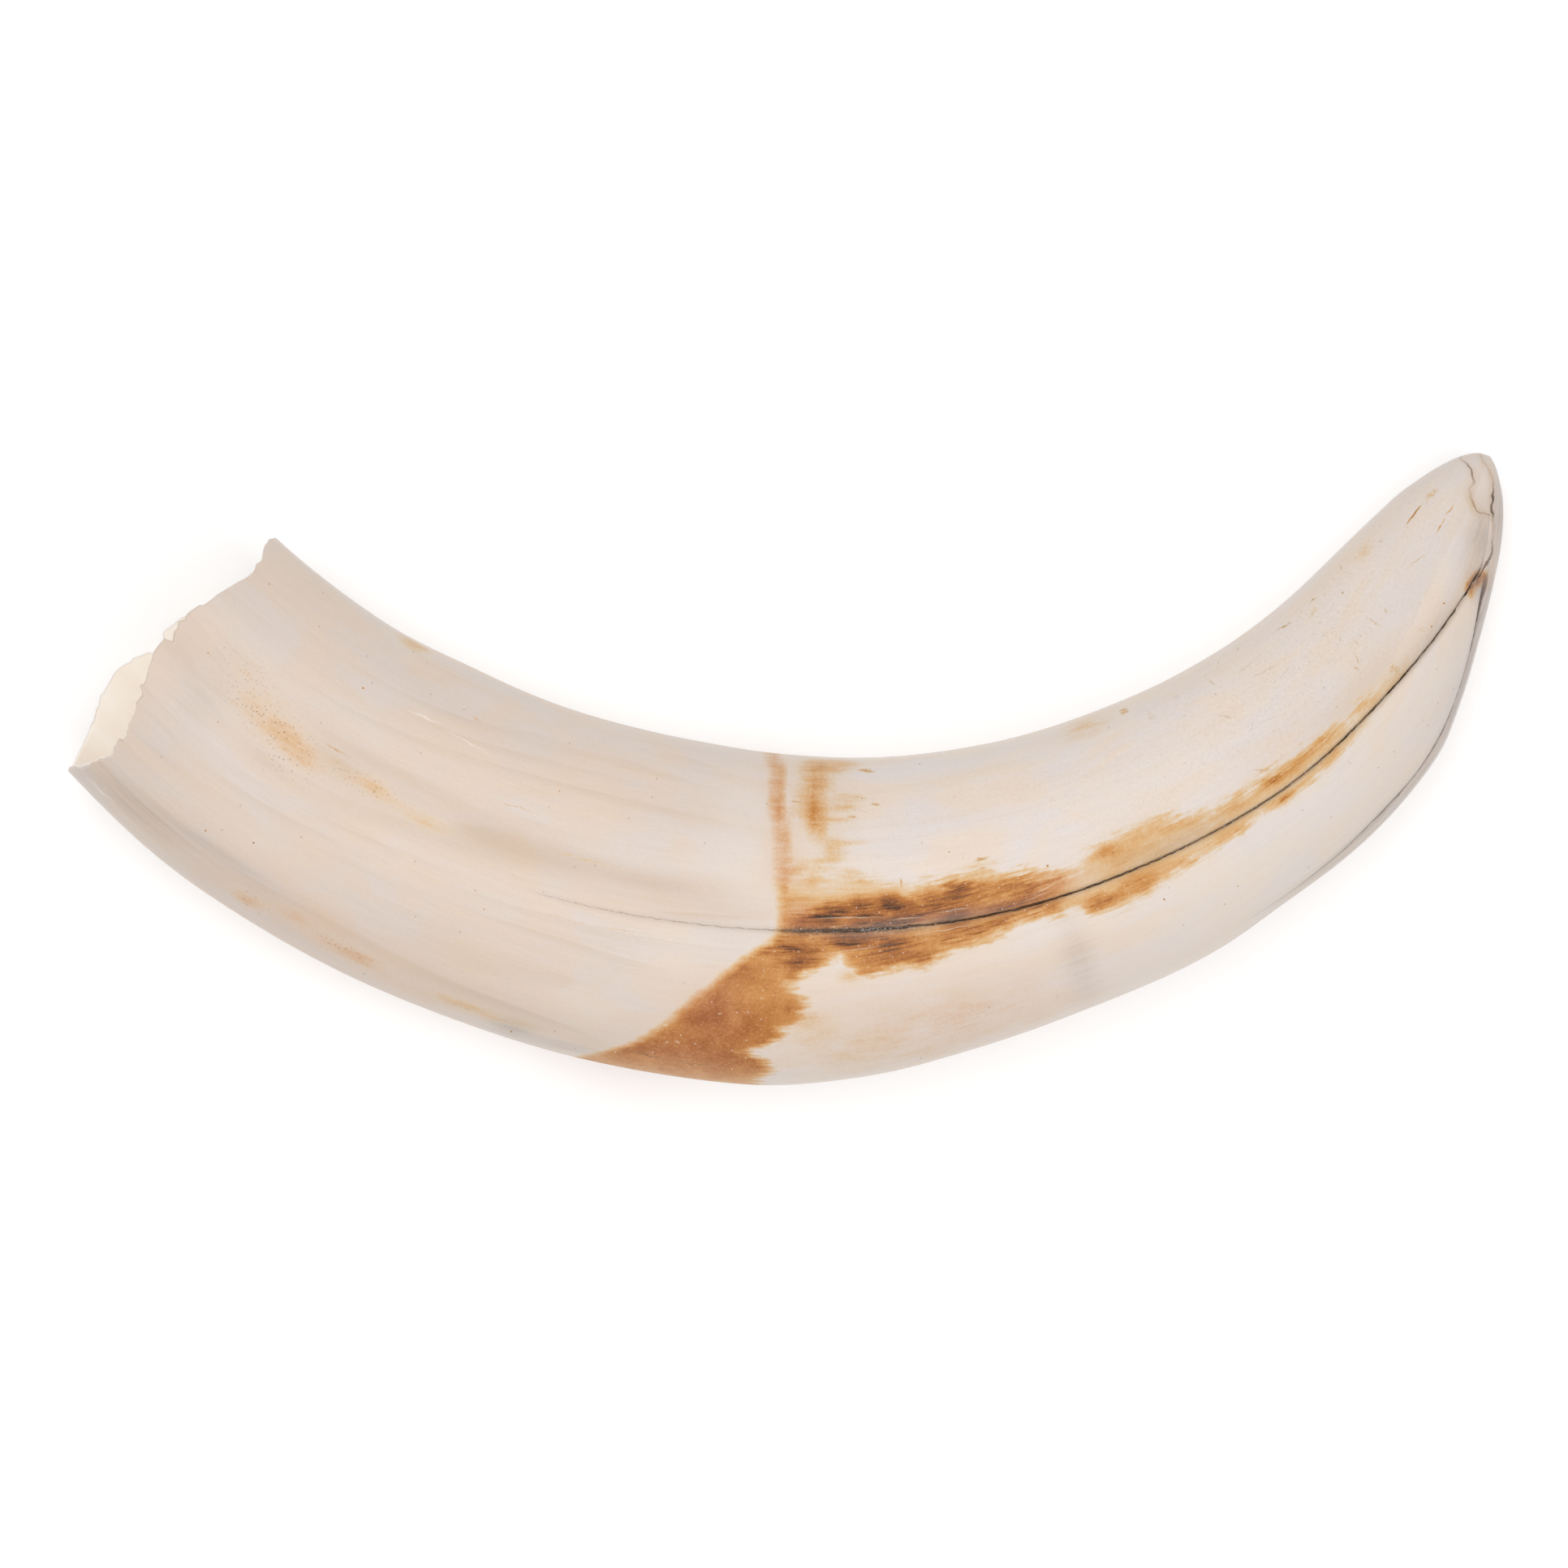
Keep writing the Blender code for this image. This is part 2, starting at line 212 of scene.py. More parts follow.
def read_places(mesh):
    """Each vertex's spoke, radius, height, turn round the section, and share of the way to the skin."""
    co = np.empty(len(mesh.vertices) * 3)
    mesh.vertices.foreach_get("co", co)
    x, y, height = co.reshape(-1, 3).T / MM
    across_x, down_y = x - CURL_CENTRE[0], CURL_CENTRE[1] - y
    spoke, radius = np.degrees(np.arctan2(across_x, down_y)), np.hypot(across_x, down_y)
    centre, half_width, middle, half_thickness = half_sizes(spoke)
    across, up = (radius - centre) / half_width, (height - middle) / half_thickness
    turn = np.arctan2(power(up, ROUNDNESS / 2), power(across, ROUNDNESS / 2)) % (2 * math.pi)
    share = (np.abs(across) ** ROUNDNESS + np.abs(up) ** ROUNDNESS) ** (1 / ROUNDNESS)
    return spoke, radius, height, turn, share


def on_plan(spoke, radius):
    """The x and y of a place, in mm."""
    angle = np.radians(spoke)
    return CURL_CENTRE[0] + radius * np.sin(angle), CURL_CENTRE[1] - radius * np.cos(angle)


def furrow_depth(spoke, radius, near):
    """How deep the broad furrows down the two flanks are."""
    front, back = [
        along(furrow, spoke, 2) * bump(radius - along(furrow, spoke), along(furrow, spoke, 3))
        for furrow in (FRONT_FURROW, BACK_FURROW)]
    return np.where(near, front, back)


def broken_edge(near_wall, far_wall, radius, near):
    """The spoke at which the tusk ends, by the stations of the near wall or of the far wall."""
    return np.where(near, straight(near_wall, radius), straight(far_wall, radius))


bpy.ops.object.select_all(action="DESELECT")
tusk = bpy.data.objects.new("dentine_tusk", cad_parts["warthog_tusk"].data.copy())
tusk.data.name = "dentine_tusk"
bpy.context.collection.objects.link(tusk)
bpy.context.view_layer.objects.active = tusk
tusk.select_set(True)
bpy.ops.object.mode_set(mode="EDIT")
bpy.ops.mesh.select_all(action="SELECT")
bpy.ops.mesh.remove_doubles(threshold=1e-6)
bpy.ops.mesh.customdata_custom_splitnormals_clear()
bpy.ops.mesh.tris_convert_to_quads(face_threshold=math.pi, shape_threshold=math.pi)
bpy.ops.mesh.normals_make_consistent(inside=False)
bpy.ops.object.mode_set(mode="OBJECT")

spoke, radius, height, turn, share = read_places(tusk.data)
_, _, _, half_thickness = half_sizes(spoke)
near = turn < math.pi
skin_share = 1 - furrow_depth(spoke, radius, near) * np.abs(np.sin(turn)) / half_thickness
is_hollow = (share < HOLLOW_LIMIT * skin_share) & (height > 0.4) & (spoke < HOLLOW_END)
hollow = tusk.data.attributes.new("hollow", "FLOAT", "POINT")
hollow.data.foreach_set("value", is_hollow.astype(float))

subdivision = tusk.modifiers.new("finer", "SUBSURF")
subdivision.levels = subdivision.render_levels = 2
bpy.ops.object.modifier_apply(modifier=subdivision.name)

# The broken edge, the crack and the gutter need a finer mesh than the rest.
spoke, radius, _, turn, share = read_places(tusk.data)
near = turn < math.pi
rim = broken_edge(NEAR_SOLID, FAR_SOLID, radius, near)
crack, gutter = line_distances(spoke, turn)
at_crack = (np.abs(crack) < CRACK_ZONE) & (spoke > CRACK_START)
at_gutter = (np.abs(gutter) < CRACK_ZONE) & (spoke > GUTTER_START)
fine = (spoke - rim < EDGE_ZONE) | (near & (at_crack | at_gutter) & (share > 0.9) & (spoke < FINE_END))
for parts in (tusk.data.vertices, tusk.data.edges):
    parts.foreach_set("select", np.zeros(len(parts), bool))
for face in tusk.data.polygons:
    face.select = any(fine[k] for k in face.vertices)
bpy.context.tool_settings.mesh_select_mode = (False, False, True)
bpy.ops.object.mode_set(mode="EDIT")
bpy.ops.mesh.subdivide(number_cuts=2)
bpy.ops.mesh.select_all(action="DESELECT")
bpy.ops.object.mode_set(mode="OBJECT")

mesh = tusk.data
spoke, radius, _, turn, _ = read_places(mesh)
inward = np.empty(len(mesh.vertices))
mesh.attributes["hollow"].data.foreach_get("value", inward)
near = turn < math.pi
rim = broken_edge(NEAR_SOLID, FAR_SOLID, radius, near)
teeth = broken_edge(NEAR_TEETH, FAR_TEETH, radius, near)
on_flank = ease(np.abs(np.sin(turn)) * 6)
teeth += near * JAG * ease((radius - 104) / 8) * np.sin(5.3 * radius) * np.sin(3.1 * radius + 1.3)
spoke = spoke + (teeth - rim) * on_flank * ease(1 - (spoke - rim) / EDGE_FADE)

centre, half_width, middle, half_thickness = half_sizes(spoke)
shrink = np.minimum(1, half_width / 7)
skin_radius, skin_height, facing = oval(spoke, turn)
crack, gutter = line_distances(spoke, turn)
on_near = ease(np.sin(turn) * 5)
x, y = on_plan(spoke, skin_radius)
panel = ease(gutter / -0.8) * ease(crack / 0.5)
depth = furrow_depth(spoke, skin_radius, near) * np.abs(np.sin(turn))
slit = 0.7 * bump(crack, 0.13) + 0.3 * bump(crack, 0.6)
groove = np.where(spoke < 0, bump(gutter, 0.9), np.maximum(0, 1 - np.abs(gutter) / 0.7))
depth += on_near * shrink * (along(CRACK_DEPTH, spoke) * slit + along(GUTTER_DEPTH, spoke) * groove)
depth += on_near * panel * NOTCH_DEPTH * bump(spoke - 46.9, 0.75)
for dent_x, dent_y, reach, dent_depth in DENTS:
    depth += on_near * dent_depth * bump(np.hypot(x - dent_x, y - dent_y), reach)
# Growth left long, very low flutes round the tusk and low swellings along it.
flutes = FLUTE_DEPTH * np.sin(FLUTES * turn + 0.03 * spoke)
swellings = SWELLING_DEPTH * np.sin(0.55 * spoke + 1.3 * np.sin(turn))
depth += (flutes + swellings) * ease((50 - spoke) / 12)
skin_radius = skin_radius - facing[0] * depth
skin_height = np.maximum(skin_height - facing[1] * depth, 0)
kept = 1 - (1 - along(HOLLOW_SHARE, spoke)) * inward
radius = centre + (skin_radius - centre) * kept
height = middle + (skin_height - middle) * kept
mesh.vertices.foreach_set("co", (np.stack([*on_plan(spoke, radius), height], axis=1) * MM).ravel())
mesh.update()
bpy.ops.object.shade_smooth_by_angle(angle=math.radians(50))


# ---- The tusk: where its marks lie ---------------------------------------------------------------
# In life the gum covered the root, and food and earth stained the dentine from the gum line to the
# tip and along the crack. Each kind of mark is laid on the skin as a soft field, on spokes in degrees
# and at distances in mm from the crack, and the material breaks it up along the grain.
GUM_LINE = [
    (0, -13.2), (18, -12.2), (38, -9.9), (51, -8.57), (65, -7.02), (77, -5.13), (85, -3.4), (88.5, -2.9),
    (99, -3.1), (113, -3.4), (132, -3.8), (164, -4.3), (210, -4.9), (240, -6), (270, -8), (290, -10),
    (320, -13), (340, -13.9), (360, -13.2),
]
BAND_END = [
    (106.8, 2.5), (109.8, 1), (111.1, -0.6), (112.3, -1.45), (113.3, -1.8), (114.1, -0.85), (116.4, -0.95),
    (117.4, -1.9), (118.4, -2), (120.6, -4), (121.2, -3), (122.2, -2.6), (123.6, -3.3),
]
BAND_BEHIND = [(180, 1.4), (200, 1.8), (235, 3.0), (270, 5.0), (300, 8.0), (335, 12.0), (360, 19.0)]
STAIN_ABOVE = [
    (-2.6, 7.3), (1.4, 6.7), (3.9, 5.8), (5.5, 4.6), (8.5, 4.9), (12.2, 4.2), (14.4, 3.2), (15.6, 2.9),
    (17.4, 4.4), (19.5, 4.7), (21.4, 4.4), (23.5, 2.9), (29.4, 2.6), (33.3, 2.1), (35.5, 1.6), (36.6, 2),
    (39.3, 1.4), (43, 0.5), (46, 0),
]
STAIN_BELOW = [
    (-1.4, 5.5), (0.2, 3.5), (1, 3.1), (1.9, 5), (2.8, 5.3), (4.4, 4.5), (5.8, 4.8), (7.2, 3.4), (9, 3),
    (10.6, 2.3), (12.7, 1.6), (13.8, 2), (14.8, 1.8), (16.2, 3.5), (18.8, 3.4), (20.7, 2.4), (23.2, 1.9),
    (25.3, 1.8), (26.8, 1.1), (31.8, 1.4), (34.6, 1), (37, 0.4), (39, 0.1),
]
STAIN_GROUND = [
    (-14, 0.44), (-4, 0.36), (2, 0.32), (6, 0.32), (13, 0.3), (15.5, 0.2), (20, 0.18), (30, 0.17),
    (40, 0.12),
]
# Blots: spoke, distance from the crack (negative towards the inner edge), reach along, reach across,
# and strength. They are the stain's density and its darkest spots, where it is rosier, faint stain
# outside it, washes of tan and grey that are partly painted shade, pores, paler dentine, and where
# scratches gather.
STAIN_BLOTS = [
    (-1, -0.9, 2.6, 1, 0.35), (0.4, -1.5, 1.5, 0.9, 0.35), (1.9, -2, 2.4, 1.2, 0.6),
    (4.8, -2, 3, 1.5, 0.55), (4.5, -2.4, 0.7, 0.6, 0.4), (8, -3, 3, 1.6, 0.42), (8.8, -3.6, 1.6, 0.7, 0.22),
    (11.5, -2.2, 3.6, 1.8, 0.36), (14, -1.5, 1.8, 1.2, 0.4), (17.6, -2.8, 1.2, 0.9, 0.25),
    (18.5, -2.4, 4.2, 1.9, 0.12), (21.5, -2.9, 3.6, 1.5, 0.15), (25.5, -1.8, 3.2, 1.1, 0.2),
    (29.5, -1.7, 3, 0.75, 0.4), (32, -1.6, 2.2, 0.7, 0.4), (33.6, -1.5, 1.2, 0.5, 0.3),
    (30.5, -2.4, 6, 1.4, 0.1), (36.3, -1.4, 1.8, 0.8, 0.25), (39.5, -1.3, 2.6, 1.2, 0.12),
    (-2.2, 1.6, 2.4, 1.4, 0.3), (-1.2, 3.2, 2, 1.3, 0.5), (1.5, 1.2, 3, 1.2, 0.55), (4, 2.2, 3, 1.7, 0.5),
    (3, 2.6, 1, 1.2, 0.35), (2.6, 4.4, 2, 1, 0.3), (5.6, 3.4, 2, 1.3, 0.28), (8, 1.4, 2.8, 1.5, 0.3),
    (11.3, 1.2, 2.8, 1.2, 0.35), (13.5, 0.9, 1.8, 0.9, 0.25), (16.6, 2, 2, 1.2, 0.4),
    (19, 1.6, 2.8, 1.4, 0.3), (22, 1.5, 2.8, 1, 0.2), (25, 1.3, 3, 1.1, 0.15), (28.9, 0.9, 1.8, 0.5, 0.3),
    (32.5, 0.8, 2.6, 0.6, 0.28), (35, 0.6, 2, 0.5, 0.15), (-4.2, 3.2, 2.4, 2, 0.25),
    (-5.8, 8, 3.2, 3.4, 0.3), (-6.6, 12.2, 4.2, 2.6, 0.3), (-2.8, 7.5, 2, 2.6, 0.22),
    (-3.4, 11.4, 3, 2.2, 0.25), (-4.6, 14.8, 4, 1.8, 0.34), (-9.5, 14.6, 3.6, 1.6, 0.35),
    (-1.7, 8.4, 1, 0.9, 0.25), (-1.8, 5.4, 0.9, 1, 0.25), (4, -2.7, 0.9, 0.8, 0.6),
    (0.7, -2.4, 0.7, 0.5, 0.4), (2.3, -3, 0.6, 0.5, 0.4), (5.9, -2.6, 0.5, 0.5, 0.4),
    (6.8, -3.1, 0.5, 0.4, 0.35), (6.7, -1.9, 0.5, 0.4, 0.35), (7.7, -4, 1, 0.9, 0.3),
    (12.7, -2.2, 1.5, 1, 0.28), (2.6, -5.3, 1.3, 0.8, 0.12), (-0.8, -5.5, 1.1, 0.9, 0.12),
    (1, -1.1, 3.6, 1, 0.6), (4.6, -0.7, 3.6, 0.8, 0.58), (8, -0.7, 4, 0.7, 0.48),
    (11.6, -0.6, 3.4, 0.7, 0.42), (-5.3, 5, 2, 1.4, 0.16), (4.5, 2.6, 2, 1, 0.12),
]
DEEP_BLOTS = [
    (4.6, -2.9, 0.5, 0.8, 1), (4.3, -2.2, 0.4, 0.5, 0.5), (0.6, -2.4, 1.5, 0.5, 0.75),
    (2.1, -3.4, 1.3, 0.6, 0.8), (6, -2.4, 0.5, 0.6, 0.5), (6.8, -2.7, 0.4, 1, 0.85),
    (8.4, -3.7, 1.5, 0.7, 0.5), (9.8, -3.2, 1.3, 0.6, 0.3), (-1.4, 3.4, 1.8, 0.5, 0.75),
    (-1.7, 2.2, 1.4, 0.5, 0.5), (3.7, 1.9, 0.4, 1.3, 0.7), (4.8, 3.2, 0.5, 0.6, 0.5), (1.2, 1, 3, 0.5, 0.4),
    (3.4, -1, 0.4, 1.2, 0.4), (-0.4, -1.6, 1.8, 0.5, 0.35), (-4, 6, 1.6, 1.4, 0.2),
    (-3.2, 14.6, 2.2, 0.9, 0.2), (-6.4, 9.4, 2.2, 1.4, 0.15),
]
ROSE_BLOTS = [
    (-34, -4, 16, 4, 0.5), (-28, 13, 16, 4, 0.9), (-0.4, -15, 5, 5, 0.4), (-6.2, 9.5, 4, 4.5, 1),
    (-7.5, 14.5, 7, 2.5, 0.8), (-1.6, -1, 2, 1.6, 0.6), (14.2, -1.6, 3, 1.6, 0.6), (7, 10.5, 16, 4.5, 1),
    (-1.4, -2.2, 1, 0.8, 0.7), (7, -0.6, 14, 0.9, 0.5), (46.9, 0.2, 2, 1.4, 0.8),
]
FAINT_BLOTS = [
    (-0.6, -13.4, 1.1, 1.9, 0.31), (-0.5, -16.6, 1.7, 1.9, 0.24), (-0.4, -11.2, 0.9, 1.2, 0.26),
    (0.6, -18.2, 2.8, 0.8, 0.2), (-1.4, -15, 2.2, 4.5, 0.12), (0.8, -13, 2, 4, 0.07),
    (1.8, -14.4, 2.6, 0.7, 0.1), (0.6, -9, 1.2, 1.3, 0.15), (1.8, -9.6, 2.2, 0.35, 0.16),
    (0.9, -12.2, 1.9, 0.3, 0.13), (1.5, -13.6, 1.6, 0.3, 0.11), (0.3, -8, 2.6, 0.35, 0.14),
    (1.6, -14.9, 1.5, 0.3, 0.11), (-0.4, -7, 2.2, 0.5, 0.13), (-2, -6.6, 2, 2, 0.24),
    (9.5, -5.6, 3, 0.5, 0.16), (-35.2, -4.3, 6, 1.2, 0.08), (-35, -3.4, 7.5, 2.4, 0.11),
    (-33.4, -2.9, 2.2, 1, 0.05), (-28.8, -4, 4.4, 1, 0.15), (-24.6, -3.2, 4, 0.7, 0.13),
    (-38.8, -7, 5.5, 2.2, 0.09), (-31.7, 13.7, 1.8, 0.9, 0.2), (-29.3, 12.6, 2.4, 0.8, 0.18),
    (-26, 13.5, 3.6, 0.8, 0.2), (-19, 14.4, 9, 0.9, 0.14), (-31.3, -20.1, 2.6, 0.8, 0.2),
    (19, -16.8, 4.4, 1.6, 0.12), (42.8, -12.3, 1.8, 1, 0.11), (41.4, -13.4, 1.6, 0.8, 0.06),
    (37.2, -12.4, 0.5, 0.5, 0.24), (7, 10.5, 16, 3.8, 0.1), (1.6, 5, 1.8, 0.8, 0.16),
    (-0.6, 10.2, 2.4, 1.6, 0.09), (1.5, 14.5, 13, 3.2, 0.07), (1.2, -18.6, 3.4, 1, 0.1),
    (28, -16, 9, 1.6, 0.06), (50.4, -2.6, 1, 1.2, 0.12), (30.5, -20.5, 6, 0.5, 0.08),
    (46.3, -0.2, 0.7, 0.5, 0.75), (46.9, 0.1, 0.7, 0.6, 0.92), (47.3, 0.7, 0.6, 0.45, 0.7),
    (46, 0.5, 0.6, 0.4, 0.22),
]
# Tan blots: mostly earth, as in the root's furrow, but beside the crack towards the tip they are painted
# shade where the skin dips towards the crack.
TAN_AND_SHADE_BLOTS = [
    (-38, -6.2, 9, 2.8, 0.45), (-30, -4.8, 11, 2.4, 0.7), (-20, -3.8, 12, 2, 0.65),
    (-10, -3.6, 9, 1.4, 0.8), (-7, -1.8, 8, 1.3, 0.6), (-44, -3, 3, 14, 0.35), (-22, -7.6, 12, 1.4, 0.22),
    (-14, 3.6, 12, 1, 0.18), (-18, 13.6, 16, 2, 0.5), (-30, 12.8, 8, 1.8, 0.65), (-31, 0.5, 6, 1.4, 0.3),
    (-24, -15.5, 14, 1.8, 0.22), (-10, -12, 8, 1.2, 0.22), (-35, -0.4, 3, 1.2, 0.45),
    (36, -2.4, 8, 1.6, 0.7), (43.5, -0.9, 7, 1.1, 0.7), (50, -1.2, 3, 0.9, 0.6),
    (46.8, -0.6, 1.4, 0.8, 0.9), (46, 0.9, 0.8, 0.6, 0.9), (20.5, -3, 6, 2.4, 0.3), (30, -4.5, 6, 2, 0.2),
]
# Grey blots: partly the dentine's own grey, as a bruise and beside the crack, and partly painted shade where
# the skin turns away: along the edges, in the root's gutter and over the worn tip.
GREY_AND_SHADE_BLOTS = [
    (-39, 12.2, 7, 1.3, 0.6), (-34, 10.9, 6, 0.7, 0.35), (-16.4, 15.2, 2, 0.9, 0.6),
    (-13.5, 15.8, 3, 0.4, 0.5), (14.4, 7.5, 1.6, 4.6, 0.4), (51, 1.6, 4, 1.6, 0.62), (44, 6, 5, 1.2, 0.5),
    (49.2, -1, 2.6, 1, 0.55), (48.5, -2.2, 4, 1.6, 0.35), (42, -0.6, 6, 0.7, 0.35),
    (46.8, 0.3, 1.2, 1, 0.95), (36, -21, 12, 1.8, 0.35), (47.1, 1.2, 1.2, 0.9, 0.8),
    (21.5, -0.9, 7, 0.8, 0.45), (-40.5, -2, 3.4, 9, 0.16), (3, 0.2, 6, 0.8, 0.55), (8, -0.5, 8, 0.7, 0.4),
    (-31.3, -4.7, 3, 1.2, 0.25),
]
PORE_BLOTS = [
    (-35.5, -4, 5, 1.8, 0.7), (-33.7, -1.4, 2.2, 1, 0.8), (-29, -4, 4, 1, 0.6),
    (-31.5, 13.6, 1.8, 0.8, 0.7), (-26, 13.5, 3, 0.8, 0.5), (-39, -6.5, 5, 2.5, 0.3),
]
PALE_BLOTS = [
    (-5, -6, 5, 7, 0.45), (-5, -14, 5, 5, 0.4), (-8.5, 5, 4, 4, 0.5), (-13, 11.5, 5, 2.5, 0.5),
    (24, 6, 12, 3.5, 0.5), (41, 3.4, 7, 1.8, 0.8), (33, 5.5, 8, 2.5, 0.5), (16, 12, 14, 2.5, 0.9),
    (22, -8, 10, 3, 0.4), (-33, 7.5, 8, 2, 0.4),
]
SCRATCH_BLOTS = [(34, -10, 34, 8, 0.9), (8, -13, 20, 6, 0.3), (-20, -8, 50, 12, 0.15)]
# Width in mm and darkness of the crack's line and of the line of painted shade in the gutter, by spoke.
CRACK_LINE = [
    (-18, 0.05, 0), (-15, 0.07, 0.3), (-8, 0.08, 0.38), (-3.2, 0.09, 0.5), (-1.8, 0.18, 0.7),
    (0.5, 0.22, 0.8), (3.5, 0.2, 0.85), (6, 0.13, 0.95), (14, 0.105, 0.95), (20, 0.09, 0.93),
    (24, 0.08, 0.85), (30, 0.08, 0.85), (33, 0.075, 0.97), (40, 0.075, 1), (45.6, 0.08, 1), (46.4, 0.12, 1),
    (47.1, 0.14, 0.95), (47.7, 0.1, 0.6), (48.3, 0.08, 0),
]
GUTTER_SHADE_LINE = [
    (23, 0.14, 0), (27, 0.15, 0.35), (32, 0.16, 0.55), (37, 0.18, 0.7), (41, 0.2, 0.8), (44, 0.22, 0.85),
    (46, 0.28, 0.95), (47, 0.42, 0.9), (47.9, 0.15, 0),
]
# Two hairlines on the worn face of the tip, as (y, x, darkness) with places in mm, up to its end.
TIP_LINE = [
    (20.6, 76.3, 0.8), (21.9, 77.2, 0.75), (23.2, 78, 0.7), (24.7, 78.4, 0.55), (25.8, 78.5, 0.3),
    (27.2, 78.5, 0.3), (28.4, 78.3, 0.8), (30.2, 78.4, 0.85), (30.9, 78.5, 0.6), (32.2, 78.3, 0.3),
    (33.5, 77.8, 0.3), (34.4, 77.1, 0.25),
]
TIP_HAIR = [
    (27.9, 78.4, 0.4), (28.1, 77.7, 0.5), (28.5, 76.7, 0.5), (29.3, 76.2, 0.55), (30, 75.9, 0.3),
    (31, 75.9, 0.25), (31.9, 76.3, 0.5), (32.7, 76.2, 0.65), (33.6, 75.7, 0.6), (34.3, 74.9, 0.3),
]
# Strokes drawn one by one, as spindles: where each starts and ends, in mm, its half width and its
# strength. The first are stain that bit into scratches, the others are scratches through the stain and
# pale flecks, with one painted highlight along the root's outer edge. The specks are places and radii.
BROWN_STROKES = [
    (68.5, 26.7, 70.6, 29.4, 0.13, 1), (70.6, 29.4, 72.8, 31.2, 0.4, 0.25),
    (71.9, 25.7, 73.2, 28, 0.1, 0.6), (73, 27.8, 74.2, 29.4, 0.14, 0.4), (68.6, 22, 71.4, 24.1, 0.12, 0.3),
    (57.9, 18.3, 58.9, 19, 0.16, 0.6), (58.1, 17.3, 58.5, 16.9, 0.4, 0.32),
    (54.2, 15.1, 56, 16.2, 0.17, 0.6), (64.1, 16.8, 66.3, 15.4, 0.18, 0.35),
    (66.1, 17.9, 66.8, 17, 0.3, 0.25), (59, 14.2, 60.2, 15.4, 0.12, 0.3),
    (61.3, 14.5, 61.3, 13.9, 0.14, 0.3), (62.7, 14.2, 63.5, 13.5, 0.14, 0.35),
    (61.4, 22.6, 61.6, 21.8, 0.16, 0.28), (66.5, 10.2, 68.1, 11.1, 0.6, 0.25),
    (62.7, 11.3, 63.3, 10.7, 0.24, 0.3), (59.6, 11.3, 60.9, 12.2, 0.13, 0.25),
    (51.2, 9.8, 54.9, 11.8, 0.16, 0.28), (49.6, 10.3, 52.2, 12.1, 0.12, 0.2),
    (49.8, 12.9, 50.2, 13.5, 0.16, 0.25), (70, 15, 70.9, 15.6, 0.45, 0.14),
    (46.4, 9.9, 47.7, 9, 0.18, 0.24), (36.8, 5.9, 37.9, 6.7, 0.42, 0.3), (39.4, 6.5, 41.1, 5, 0.5, 0.12),
    (42.5, 8, 43.7, 7.7, 0.4, 0.14), (47.6, 5.9, 49.7, 5.5, 0.2, 0.32), (51.4, -0.4, 53.8, -0.1, 0.16, 0.3),
    (20.5, -10.4, 22.5, -9.8, 0.32, 0.34), (21.1, -11.2, 22.3, -10.9, 0.2, 0.3),
    (12.6, -11.9, 12.7, -13.4, 0.18, 0.3), (2.3, -19, 3.7, -18.9, 0.16, 0.75),
    (1.7, -19.8, 3.3, -19.7, 0.18, 0.65), (7.6, -0.3, 9.9, -0.4, 0.18, 0.42),
    (6.5, -5.4, 7.9, -5.5, 0.2, 0.36), (9, -4, 10.4, -4.1, 0.18, 0.34), (7.3, -3.2, 9, -3.4, 0.14, 0.32),
    (7, -4.6, 7.9, -4.6, 0.14, 0.28), (0, -3.7, 2.1, -3.9, 0.18, 0.32), (3.1, 0.5, 4.6, 0.4, 0.28, 0.3),
    (3.7, -9.3, 7.8, -9.4, 0.28, 0.16), (-18.6, -31, -12.6, -32.5, 0.22, 0.75),
    (-13.6, -32.3, -6.3, -33.2, 0.22, 0.7), (-28.7, -8.4, -15.3, -12, 0.2, 0.17),
    (-33.8, -3, -26.1, -5.5, 0.18, 0.16), (-28.7, -15.6, -21, -17.6, 0.14, 0.14),
    (-22.5, -17.2, -13.4, -18.8, 0.14, 0.14), (-41.4, -25.4, -31.8, -27.2, 0.3, 0.16),
    (-34.9, 5.8, -33.6, 5, 0.2, 0.2), (-51.5, 3.1, -48, 0.9, 0.16, 0.3), (-57, 5, -54, 4.4, 0.16, 0.28),
]
PALE_AND_HIGHLIGHT_STROKES = [
    (2.8, -16.6, 11.3, -16.5, 0.11, 0.6), (10.7, -16.9, 15.6, -16.4, 0.1, 0.55),
    (16.5, -16, 20.6, -15.4, 0.11, 0.6), (26.8, -14.2, 30.7, -12.3, 0.12, 0.7),
    (25.7, -15, 30.1, -13.2, 0.1, 0.5), (14.1, -18.5, 21.9, -17.1, 0.1, 0.6),
    (2.2, -20.8, 12.4, -19.4, 0.1, 0.5), (-42.3, 6.5, -37.6, 4.6, 0.16, 0.6),
    (-38, 4.3, -32.4, 1.3, 0.14, 0.55), (-78.2, -0.4, -73.8, -4.6, 0.16, 0.55),
    (-13.8, -28.5, -13, -28.3, 0.16, 0.8), (-12.4, -30.1, -11.8, -30.5, 0.16, 0.8),
    (-13.5, -30.5, -13, -30.3, 0.14, 0.7), (-7.7, -27.3, -7.1, -27.2, 0.14, 0.7),
    (-12, -26.6, -11.5, -26.4, 0.13, 0.6),
]
SPECKS = [
    (61.6, 19.4, 0.14), (65.9, 25.1, 0.13), (72.9, 18.3, 0.16), (71.5, 15.7, 0.14), (67.4, 26.4, 0.13),
    (-46.8, 8.8, 0.18), (-63.9, 12.6, 0.17), (-58.9, -8.3, 0.15), (-57.2, 20.3, 0.11), (-30.5, -29.2, 0.17),
    (28.8, -10.8, 0.18), (41.7, -14.6, 0.13), (49.9, -13.1, 0.11), (14.7, 0.5, 0.11), (17.9, -9.3, 0.11),
    (-33.4, -15.6, 0.12), (-25.1, -2.6, 0.11), (-58.5, 6.2, 0.14), (-64.2, -7, 0.13),
]
STROKE_ZONE = 0.8  # mm round a stroke over which it is laid on the skin
